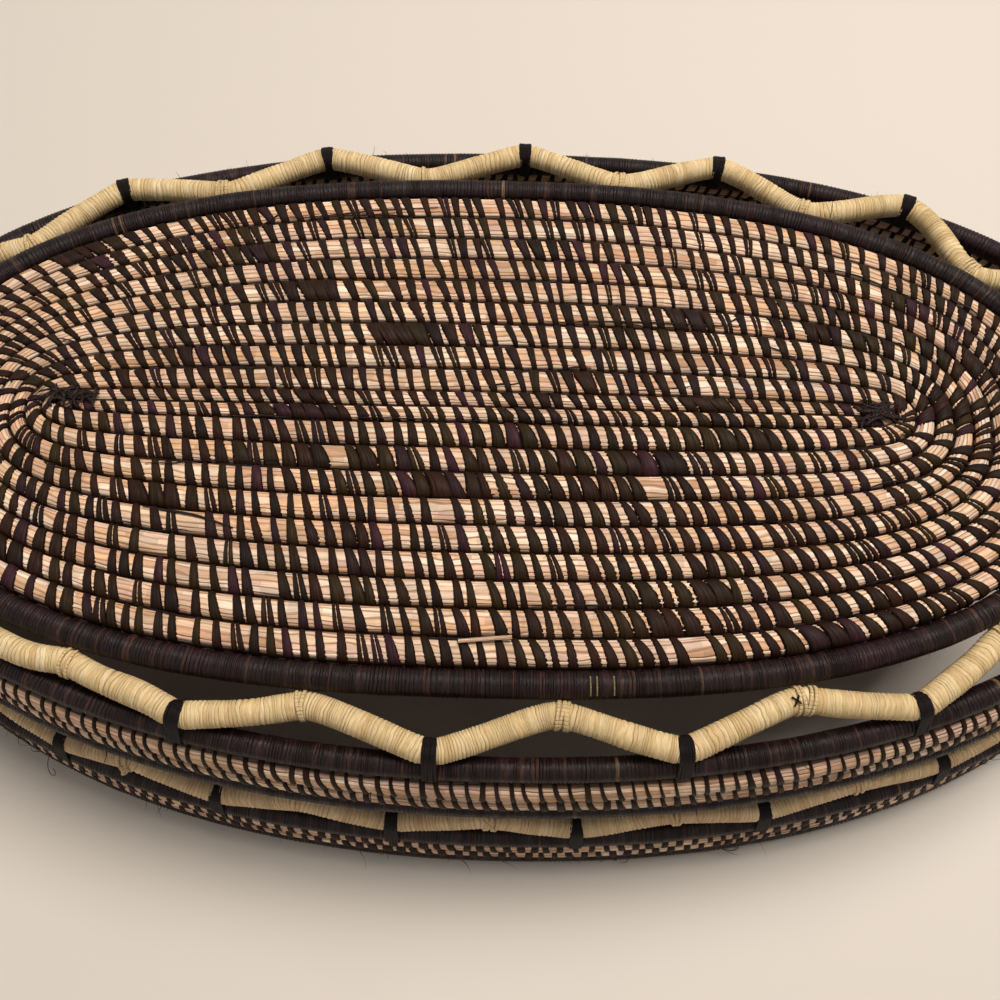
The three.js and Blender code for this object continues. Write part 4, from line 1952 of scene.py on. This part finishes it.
@dataclass
class ZigzagTier:
    """A cream wrapped rod bent in waves, with a dark tie at each outer turn."""

    name: str
    waves: int
    rods: int
    shift: float
    gather: float
    turns: tuple[Row, Row]
    ring: Row
    seed: float
    pitch: float = 1.0 * MM
    inner_round: float = 0.045
    outer_round: float = 0.02
    pinch: float = 0.12
    pinch_half: float = 1.7 * MM
    swell: float = 0.035
    wrap_over_rod: float = 1.05
    tie_width: float = 3.5 * MM
    tie_half_span: float = 0.12
    tie_overlap: float = 0.72
    tie_thickness: float = 0.34 * MM
    tie_sink: float = 0.93
    strands_in_tie: int = 5
    splice_chance: float = 0.92

    def spacing(self) -> tuple[Array, Array]:
        """Stations against distances along the ring, over three rounds.

        Returns:
            The stations and the distances.
        """
        station = np.linspace(-STATIONS, 2 * STATIONS, 8641)
        full = np.full(station.shape, self.ring.outward)
        points = BASKET.point(station, full, np.full(station.shape, self.ring.drop))
        length = np.concatenate([[0.0], np.cumsum(np.linalg.norm(np.diff(points, axis=0), axis=1))])
        return station, length - np.interp(0.0, station, length)

    def stations(self, even: Array) -> Array:
        """Stations of places spaced evenly round the ring, as shares of a round.

        Args:
            even: Shares of a round, evenly spaced.

        Returns:
            Their stations, gathered toward one end.
        """
        station, length = self.spacing()
        whole = float(np.interp(STATIONS, station, length))
        distance = even * whole - self.gather * np.sin(even * 2 * math.pi)
        return np.interp(distance, length, station)

    def tie_stations(self) -> Array:
        """Stations of the outer turns, where the ties are."""
        return self.stations((np.arange(self.waves) + self.shift) / self.waves)

    def share(self, phase: Array) -> Array:
        """How far toward the inner turns the rod is, at a phase from 0, an outer turn, to 1, the next.

        Args:
            phase: Count of waves.

        Returns:
            The shares, 0 at outer turns and 1 at inner ones.
        """
        away = np.abs((phase + 0.5) % 1.0 - 0.5)
        near, far = self.outer_round, 0.5 - self.inner_round
        low = np.sqrt(away**2 + near**2) - near
        tip = 0.5 - away
        high = 0.5 - (np.sqrt(tip**2 + self.inner_round**2) - self.inner_round)
        blend = ease(away, near, far)
        raw = low * (1 - blend) + high * blend
        return np.clip(2 * raw, 0, 1)

    def rod(self) -> Lane:
        """The rod's lane.

        Returns:
            The lane.
        """
        inner, outer = self.turns
        even = np.linspace(0, 1, 6001)[:-1]
        station = self.stations(even)
        share = self.share(even * self.waves - self.shift)
        outward = outer.outward + (inner.outward - outer.outward) * share
        drop = outer.drop + (inner.drop - outer.drop) * share
        centre = BASKET.point(station, outward, drop)
        same = np.ones(station.shape)
        down = BASKET.point(station, outer.outward * same, outer.drop * same)
        down = down - BASKET.point(station, inner.outward * same, inner.drop * same)
        phase = (even * self.waves - self.shift + 0.5) % 1.0 - 0.5
        wave = float(measure(centre, 0.0, True)[-1]) / self.waves
        pinch = 1 - self.pinch * np.exp(-((phase * wave / self.pinch_half) ** 4))
        swell = 1 + self.swell * drift(centre, 0.012, self.seed)
        half = BASKET.rod_diameter / 2 * self.wrap_over_rod * pinch * swell
        return wrap_evenly(centre, down, half, half, self.pitch, self.seed)

    def tie(self, station: float, number: int) -> list[Lane]:
        """The strands of one tie, looped round the rod and the ring below it.

        Args:
            station: Station of the tie.
            number: Number of the tie.

        Returns:
            The strands' lanes.
        """
        rng = np.random.default_rng(int(self.seed) * 100 + number)
        outer = self.turns[1]
        both = station + self.tie_half_span * np.array([-1.0, 0.0, 1.0])
        line = BASKET.point(both, np.full(3, outer.outward), np.full(3, outer.drop))
        along = unit(line[2] - line[0])
        out = np.cross(along, UP)
        out = out / np.linalg.norm(out)
        rod = line[1]
        apart = BASKET.spot(station, self.ring) - rod
        flat = np.array([apart @ out, apart[2]])
        lanes = []
        for k in range(self.strands_in_tie):
            share = (k + 0.5) / self.strands_in_tie - 0.5
            rod_radius = BASKET.rod_diameter / 2 * self.tie_sink + rng.uniform(0.16, 0.28) * MM
            ring_radius = BASKET.ring_diameter / 2 + rng.uniform(0.0, 0.12) * MM
            angles = np.linspace(0, 2 * math.pi, 30, endpoint=False)
            ways = np.stack([np.cos(angles), np.sin(angles)], -1)
            on_ring = ways @ flat + ring_radius > rod_radius
            middle = np.where(on_ring[:, None], flat, np.zeros(2))
            radius = np.where(on_ring, ring_radius, rod_radius)[:, None]
            loop = middle + ways * radius
            skew = rng.uniform(-0.15, 0.15) * MM
            slide = share * self.tie_width + skew * loop[:, 1] / (5 * MM)
            centre = rod + loop[:, :1] * out + loop[:, 1:] * UP + slide[:, None] * along
            across = np.broadcast_to(along, centre.shape)
            half = self.tie_width / self.strands_in_tie * self.tie_overlap
            lanes.append(Lane.over(centre, across, half, self.tie_thickness, True))
        return lanes

    def splices(self, rod: Lane) -> list[Lane]:
        """Raised wraps at some of the inner turns, where a new strand of raffia starts.

        Args:
            rod: The rod's lane.

        Returns:
            The wraps' lanes.
        """
        rng = np.random.default_rng(int(self.seed))
        stations = self.stations((np.arange(self.waves) + self.shift + 0.5) / self.waves)
        angles = np.linspace(0, 2 * math.pi, 20, endpoint=False)
        lanes = []
        for station in stations:
            turn = BASKET.spot(station, self.turns[0])
            middle = int(np.argmin(np.linalg.norm(rod.centre - turn, axis=1)))
            if rng.random() > self.splice_chance:
                continue
            first = middle + int(rng.integers(-8, 4))
            for k in range(int(rng.integers(2, 5))):
                at = (first + round(k * 1.25 * MM / self.pitch * POINTS_PER_WRAP)) % len(rod.centre)
                radius = rod.half[at] + rng.uniform(0.05, 0.2) * MM
                ring = np.cos(angles)[:, None] * rod.across[at] + np.sin(angles)[:, None] * rod.face[at]
                slant = rod.tangent[at] * (0.5 * MM * np.cos(angles + rng.uniform(0, 6)))[:, None]
                centre = rod.centre[at] + ring * radius + slant
                way = np.broadcast_to(rod.tangent[at], centre.shape)
                lanes.append(Lane.over(centre, way, 0.5 * MM, 0.3 * MM, True))
        return lanes

    def build(self, bench: Bench) -> Lane:
        """Makes the rod and its ties, and returns the rod's lane.

        Args:
            bench: What it is made with.

        Returns:
            The rod's lane.
        """
        line = self.rod()
        # The lower rod takes the darker copy of the cream finish, which is painted shade.
        finish = bench.finishes.cream if self.name == "upper" else bench.finishes.shaded_rod
        rod = bench.strands.lay(
            f"{self.name}_rod",
            [line],
            finish,
            sides=14,
            wrap_depth=0.23 * MM,
            wrap_lean=2.6,
            wobble=0.3 * MM,
            wobble_size=0.01,
            seed=self.seed,
        )
        lengths = [f"_{number + 1}" for number in range(self.rods)] if self.rods > 1 else [""]
        settle(rod, "cream_raffia", *(f"{self.name}_zigzag{length}" for length in lengths))
        spliced = bench.strands.lay(f"{self.name}_rod_splices", self.splices(line), finish, sides=6)
        settle(spliced, "cream_raffia")
        for number, station in enumerate(self.tie_stations(), 1):
            piece = bench.strands.lay(
                f"{self.name}_binding_{number:02d}",
                self.tie(float(station), number),
                bench.finishes.tie,
                sides=6,
                wobble=0.2 * MM,
                wobble_size=0.004,
                seed=self.seed + number,
            )
            settle(piece, "dark_raffia", f"{self.name}_tie_{number:02d}")
        return line


@dataclass
class SmallMarks:
    """Marks of single places: a crossed stitch, a knot, slits in the rim, a loose straw and long hairs."""

    crossed: tuple[float, float] = (72 * MM, -80 * MM)
    crossed_long: float = 0.95 * MM
    crossed_wide: float = 1.15 * MM
    knot: tuple[float, float] = (-101 * MM, -93 * MM)
    knot_strands: int = 9
    knot_radii: tuple[float, float] = (0.8 * MM, 1.7 * MM)
    slits_seen: tuple[float, float] = (0.55, 1.9)
    slits: tuple[float, ...] = (21.8 * MM, 23.4 * MM, 27.4 * MM)
    pale_ends: tuple[tuple[float, float], ...] = ((-10.6 * MM, -67.4 * MM), (2.6 * MM, -66.1 * MM))
    curls: tuple[tuple[float, float], ...] = (
        (-134 * MM, -84 * MM),
        (64 * MM, -105 * MM),
        (142 * MM, -80 * MM),
    )
    seed: int = 8

    @staticmethod
    def nearest(rod: Lane, spot: tuple[float, float]) -> int:
        """The number of the rod's point nearest to a spot seen from above."""
        return int(np.argmin(np.linalg.norm(rod.centre[:, :2] - np.array(spot), axis=1)))

    def cross(self, rod: Lane) -> list[Lane]:
        """Two short dark threads crossed on the rod.

        Args:
            rod: The upper rod's lane.

        Returns:
            The threads' lanes.
        """
        at = self.nearest(rod, self.crossed)
        along = rod.tangent[at]
        up = np.array([0.0, -0.2, 1.0])
        up = up - along * (up @ along)
        up = up / np.linalg.norm(up)
        share = np.linspace(-1, 1, 9)[:, None]
        lanes = []
        for side in (-1, 1):
            way = along * self.crossed_long + side * np.cross(up, along) * self.crossed_wide
            lift = rod.half[at] + (0.5 - 0.45 * share**2) * MM
            points = rod.centre[at] + way * share + up * lift
            lanes.append(Lane.over(points, np.cross(up, way), 0.24 * MM, 0.18 * MM))
        return lanes

    def tuft(self, rod: Lane) -> list[Lane]:
        """A small knot of cream raffia on the rod.

        Args:
            rod: The lower rod's lane.

        Returns:
            The strands' lanes.
        """
        rng = np.random.default_rng(self.seed)
        at = self.nearest(rod, self.knot)
        heart = rod.centre[at] + (rod.face[at] * 0.2 + np.array([0, -0.9, 0.2])) * rod.half[at]
        share = np.linspace(0, 1, 12)[:, None]
        lanes = []
        for _ in range(self.knot_strands):
            first, second = unit(rng.normal(0, 1, (2, 3)))
            angle = share * rng.uniform(2.5, 5.5)
            bow = first * np.cos(angle) + second * np.sin(angle)
            points = heart + bow * rng.uniform(*self.knot_radii)
            across = np.cross(first, second) * np.ones((12, 1))
            lanes.append(Lane.over(points, across, 0.38 * MM, 0.24 * MM))
        return lanes

    def pale_slits(self) -> list[Lane]:
        """Pale wraps that show between the dark ones on the near side of the base rim.

        Returns:
            Their lanes.
        """
        station = np.linspace(0.2 * STATIONS, 0.3 * STATIONS, 400)
        line = BASKET.point(station, np.zeros(400), np.zeros(400))
        angle = np.linspace(*self.slits_seen, 12)
        lanes = []
        for x in self.slits:
            at = int(np.argmin(np.abs(line[:, 0] - x)))
            out = np.append(BASKET.base.outward(station[at : at + 1])[0], 0.0)
            radius = BASKET.rim_diameter / 2 + 0.14 * MM
            points = line[at] + (np.cos(angle)[:, None] * out + np.sin(angle)[:, None] * UP) * radius
            lanes.append(Lane.over(points, np.cross(out, UP) * np.ones((12, 1)), 0.2 * MM, 0.1 * MM))
        return lanes

    def pale_strand(self) -> list[Lane]:
        """A loose straw that lies across the stitches of the last round.

        Returns:
            Its lane.
        """
        first, last = (np.array([*spot, BASKET.rim_height + 3.7 * MM]) for spot in self.pale_ends)
        share = np.linspace(0, 1, 16)[:, None]
        points = first + (last - first) * share
        points[:, 2] += 0.25 * MM * np.sin(2.4 * share[:, 0])
        return [Lane.over(points, np.array([0.1, 1.0, 0.0]) * np.ones((16, 1)), 0.6 * MM, 0.2 * MM)]

    def long_curls(self) -> list[Lane]:
        """Long hairs that curl away from the foot of the wall.

        Returns:
            Their lanes.
        """
        rng = np.random.default_rng(self.seed + 1)
        share = np.linspace(0, 1, 24)[:, None]
        lanes = []
        for spot in self.curls:
            out = unit(np.array([*spot, 0.0]))
            side = np.cross(UP, out)
            angle = share * rng.uniform(3.5, 5.0)
            way = out * (4.5 * share + 1.6 * np.sin(angle)) + side * 2.6 * (1 - np.cos(angle))
            points = np.array([*spot, 7 * MM]) + way * MM
            points[:, 2] = (7 - 5.5 * share[:, 0]) * MM
            lanes.append(Lane.over(points, UP * np.ones((24, 1)), 0.11 * MM, 0.11 * MM))
        return lanes

    def build(self, bench: Bench, upper_rod: Lane, lower_rod: Lane) -> None:
        """Makes the marks.

        Args:
            bench: What they are made with.
            upper_rod: The upper rod's lane.
            lower_rod: The lower rod's lane.
        """
        finishes = bench.finishes
        marks = (
            ("crossed_stitch", self.cross(upper_rod), finishes.tie, 6, "dark_raffia"),
            # The knot on the lower rod takes the same painted-shade finish.
            ("rod_knot", self.tuft(lower_rod), finishes.shaded_rod, 6, "cream_raffia"),
            ("rim_slits", self.pale_slits(), finishes.olive, 6, "cream_raffia"),
            ("pale_strand", self.pale_strand(), finishes.straw, 8, "straw_coil"),
            ("long_curls", self.long_curls(), finishes.rim, 5, "dark_raffia"),
        )
        for name, lanes, finish, sides, slot in marks:
            settle(bench.strands.lay(name, lanes, finish, sides=sides), slot)


@dataclass
class LooseStrands:
    """Ends of raffia and straw that stand off the rows."""

    hairs: int = 170
    hair_lengths: tuple[float, float] = (1.5 * MM, 5.0 * MM)
    hair_halves: tuple[float, float] = (0.07 * MM, 0.15 * MM)
    long_chance: float = 0.08
    long_factor: float = 1.6
    lowest: float = 0.3 * MM
    highest: float = 81 * MM
    base_share: float = 0.25
    upper_share: float = 0.35
    fuzz: int = 1100
    fuzz_lengths: tuple[float, float] = (0.7 * MM, 2.3 * MM)
    fuzz_halves: tuple[float, float] = (0.035 * MM, 0.08 * MM)
    fuzz_angles: tuple[float, float] = (-0.5, 2.4)
    fuzz_lowest: float = 0.2 * MM
    ring_shares: tuple[float, ...] = (0.4, 0.2, 0.12, 0.12, 0.16)
    seed: int = 23

    def lanes(self) -> list[Lane]:
        """Thin curled fibres along the wall's rows and over the base.

        Returns:
            Their lanes.
        """
        rng = np.random.default_rng(self.seed)
        lanes = []
        for _ in range(self.hairs):
            if rng.random() < self.base_share:
                station = rng.uniform(0, STATIONS)
                root = BASKET.spot(station, Row(rng.uniform(-2, 3) * MM, -3.2 * MM))
                normal = UP
            else:
                band = BASKET.upper_band if rng.random() < self.upper_share else BASKET.lower_band
                station = rng.uniform(0, STATIONS)
                row = band[rng.integers(0, 4)]
                root = BASKET.spot(station, Row(row.outward + 3.0 * MM, row.drop))
                normal = BASKET.out(station)
            along = np.cross(UP, normal) if abs(normal[2]) < 0.5 else unit(rng.normal(0, 1, 3) * [1, 1, 0])
            way = normal * rng.uniform(0.3, 1.0) + along * rng.normal(0, 0.8)
            way = unit(way + UP * rng.normal(0, 0.35))
            bend = rng.normal(0, 0.6, 3)
            length = rng.uniform(*self.hair_lengths)
            length = length * (self.long_factor if rng.random() < self.long_chance else 1.0)
            share = np.linspace(0, 1, 8)[:, None]
            curl = np.sin(share * rng.uniform(1.5, 4.0)) * rng.normal(0, 0.3, 3)
            centre = root + (way * share + bend * share**2 + curl * share) * length
            rise = centre[:, 2].max() - root[2]
            centre = root + (centre - root) * min(1.0, (self.highest - root[2]) / max(rise, 0.01 * MM))
            centre[:, 2] = np.maximum(centre[:, 2], self.lowest)
            side = np.cross(way, rng.normal(0, 1, 3))
            thick = rng.uniform(*self.hair_halves) * (1.15 - share[:, 0])
            lanes.append(Lane.over(centre, np.broadcast_to(side, centre.shape), thick, thick))
        return lanes

    def fuzz_lanes(self) -> list[Lane]:
        """Short fibres that stand off the wrapped rings.

        Returns:
            Their lanes.
        """
        rng = np.random.default_rng(self.seed + 1)
        rings = [Row(0.0, 0.0), *BASKET.upper_band[::3], *BASKET.lower_band[::3]]
        lanes = []
        share = np.linspace(0, 1, 4)[:, None]
        for _ in range(self.fuzz):
            row = rings[int(rng.choice(5, p=self.ring_shares))]
            station = rng.uniform(0, STATIONS)
            middle, out = BASKET.spot(station, row), BASKET.out(station)
            angle = rng.uniform(*self.fuzz_angles)
            normal = math.cos(angle) * out + math.sin(angle) * UP
            round_way = math.cos(angle) * UP - math.sin(angle) * out
            way = normal * rng.uniform(0.1, 0.5) + round_way * rng.choice([-1, 1]) + rng.normal(0, 0.35, 3)
            length = rng.uniform(*self.fuzz_lengths)
            root = middle + normal * (BASKET.ring_diameter / 2 - 0.1 * MM)
            points = root + (way * share + normal * share * (1 - share) * rng.uniform(0, 1.2)) * length
            points[:, 2] = np.maximum(points[:, 2], self.fuzz_lowest)
            thick = rng.uniform(*self.fuzz_halves) * (1.2 - share[:, 0])
            lanes.append(Lane.over(points, np.cross(way, normal) * np.ones((4, 1)), thick, thick))
        return lanes

    def build(self, bench: Bench) -> None:
        """Makes the loose ends and the fuzz of the rings."""
        settle(bench.strands.lay("loose_ends", self.lanes(), bench.finishes.rim, sides=4), "dark_raffia")
        settle(bench.strands.lay("ring_fuzz", self.fuzz_lanes(), bench.finishes.rim, sides=3), "dark_raffia")


@dataclass(frozen=True)
class Lamp:
    """A square lamp that faces the basket, its power in watts."""

    name: str
    place: Triple
    size: float
    power: float
    tone: Triple

    def build(self) -> None:
        """Hangs the lamp."""
        data = bpy.data.lights.new(self.name, "AREA")
        data.size = self.size
        data.energy = self.power
        data.color = self.tone
        lamp = bpy.data.objects.new(self.name, data)
        lamp.location = self.place
        way = Vector((0, 0, 0.03)) - Vector(self.place)
        lamp.rotation_euler = way.to_track_quat("-Z", "Y").to_euler()
        bpy.context.scene.collection.objects.link(lamp)


@dataclass
class Studio:
    """The floor, the lamps and the photograph's camera."""

    eye: Triple = (1.6 * MM, -143.6 * MM, 321.3 * MM)
    below_horizon: float = 65.0
    yaw: float = 1.43
    focal: float = 1040.0
    frame_width: float = 1000.0
    sensor: float = 36.0
    reach: float = 3.0
    fade_from: float = 0.55
    fade_to: float = 1.7
    backdrop: Colour = (1.0, 0.98, 0.95, 1.0)
    backdrop_strength: float = 0.8
    room_strength: float = 0.13
    key: Lamp = Lamp("key", (0.38, 0.4, 1.48), 0.75, 26.5, (1.0, 0.965, 0.92))
    fill: Lamp = Lamp("fill", (-0.8, -0.8, 1.3), 1.2, 2.8, (1.0, 0.98, 0.97))

    def camera(self) -> None:
        """Sets the camera where the photograph was taken from."""
        data = bpy.data.cameras.new("camera")
        data.sensor_width = self.sensor
        data.lens = self.focal / self.frame_width * self.sensor
        data.clip_start = 0.01
        camera = bpy.data.objects.new("camera", data)
        camera.location = self.eye
        camera.rotation_euler = (math.radians(90 - self.below_horizon), 0, math.radians(self.yaw))
        bpy.context.scene.collection.objects.link(camera)
        bpy.context.scene.camera = camera

    @staticmethod
    def seen(desk: NodeDesk) -> Socket:
        """1 for rays from the camera, off a glossy surface or through a clear one, and 0 for others."""
        path = desk.add("ShaderNodeLightPath").outputs
        return desk.total(path["Is Camera Ray"], path["Is Glossy Ray"], path["Is Transmission Ray"])

    def floor(self) -> None:
        """A plain pale counter that fades into the backdrop far from the basket."""
        mesh = bpy.data.meshes.new("counter")
        corners = [(x * self.reach, y * self.reach, 0) for x, y in ((-1, -1), (1, -1), (1, 1), (-1, 1))]
        mesh.from_pydata(corners, [], [(0, 1, 2, 3)])
        counter = bpy.data.objects.new("counter", mesh)
        bpy.context.scene.collection.objects.link(counter)
        material = bpy.data.materials.new("pale_counter")
        material.use_nodes = True
        shader = material.node_tree.nodes["Principled BSDF"]
        shader.inputs["Base Color"].default_value = srgb(216, 205, 192)
        shader.inputs["Roughness"].default_value = 0.6
        desk = NodeDesk(material.node_tree)
        place = desk.add("ShaderNodeTexCoord").outputs["Object"]
        far = desk.add("ShaderNodeVectorMath", {0: place}, operation="LENGTH").outputs["Value"]
        feeds = {0: far, 1: self.fade_from, 2: self.fade_to}
        fade = desk.add("ShaderNodeMapRange", feeds, interpolation_type="SMOOTHSTEP").outputs[0]
        feeds = {"Color": self.backdrop, "Strength": self.backdrop_strength}
        glow = desk.add("ShaderNodeEmission", feeds).outputs[0]
        shown = desk.times(fade, self.seen(desk))
        mixed = desk.add("ShaderNodeMixShader", {0: shown, 1: shader.outputs[0], 2: glow}).outputs[0]
        desk.feed(material.node_tree.nodes["Material Output"].inputs["Surface"], mixed)
        mesh.materials.append(material)

    def build(self) -> None:
        """Sets up the studio."""
        self.camera()
        self.floor()
        self.key.build()
        self.fill.build()
        world = bpy.data.worlds.new("room")
        world.use_nodes = True
        desk = NodeDesk(world.node_tree)
        light = world.node_tree.nodes["Background"].inputs
        light["Color"].default_value = self.backdrop
        feeds = {0: self.seen(desk), 3: self.room_strength, 4: self.backdrop_strength}
        desk.feed(light["Strength"], desk.add("ShaderNodeMapRange", feeds).outputs[0])
        bpy.context.scene.world = world
        bpy.context.scene.view_settings.view_transform = "Standard"


def stitch_cuts() -> bpy.types.Collection:
    """The collection that stitches are picked from, in the order of StitchKind.

    Returns:
        The collection.
    """
    cuts = bpy.data.collections.new("stitch_cuts")
    for number, kind in enumerate(StitchKind):
        name = f"cut_{number}_{kind.name.lower()}"
        cuts.objects.link(bpy.data.objects.new(name, kind.value.mesh(name)))
    return cuts


def main() -> None:
    """Builds the basket over its frame."""
    logging.basicConfig(level=logging.INFO, format="%(name)s: %(message)s")
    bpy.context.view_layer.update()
    Studio().build()
    bench = Bench(StrandTree(), StitchTree(), Finishes(), stitch_cuts())
    BasePanel().build(bench)
    upper, lower, ring = BASKET.upper_band, BASKET.lower_band, BASKET.ring_diameter
    rings = (
        WrappedRing("base_rim_wrapped", "base_rim", Row(0.0, 0.0), BASKET.rim_diameter, 1.0),
        WrappedRing("upper_band_top_wrapped", "upper_band_top_ring", upper[0], ring, 2.0),
        WrappedRing("upper_band_bottom_wrapped", "upper_band_bottom_ring", upper[-1], ring, 3.0),
        WrappedRing("lower_band_top_wrapped", "lower_band_top_ring", lower[0], ring, 4.0),
        WrappedRing("mouth_rim_wrapped", "mouth_rim", lower[-1], ring - 0.5 * MM, 5.0),
    )
    for wrapped in rings:
        wrapped.build(bench)
    leaning = (StitchKind.PLAIN, 5), (StitchKind.SLIM, 3), (StitchKind.CHECK_LEAN, 3)
    checked = (StitchKind.CHECK, 5), (StitchKind.CHECK_LEAN, 3)
    StitchedBand("upper_band", "upper_band_coil", upper, 7, leaning, (0.40, 0.50), 3.7 * MM).build(bench)
    StitchedBand("lower_band", "lower_band_coil", lower, 12, checked, (0.50, 0.52), 4.0 * MM).build(bench)
    upper_tier = ZigzagTier("upper", 15, 1, 0.31, -9 * MM, BASKET.upper_turns, upper[0], 31.0)
    lower_tier = ZigzagTier("lower", 20, 5, 0.67, 14 * MM, BASKET.lower_turns, lower[0], 47.0)
    SmallMarks().build(bench, upper_tier.build(bench), lower_tier.build(bench))
    LooseStrands().build(bench)
    for kind in list(bench.cuts.objects):
        bpy.data.objects.remove(kind)
    bpy.data.collections.remove(bench.cuts)


if __name__ == "__main__":
    main()
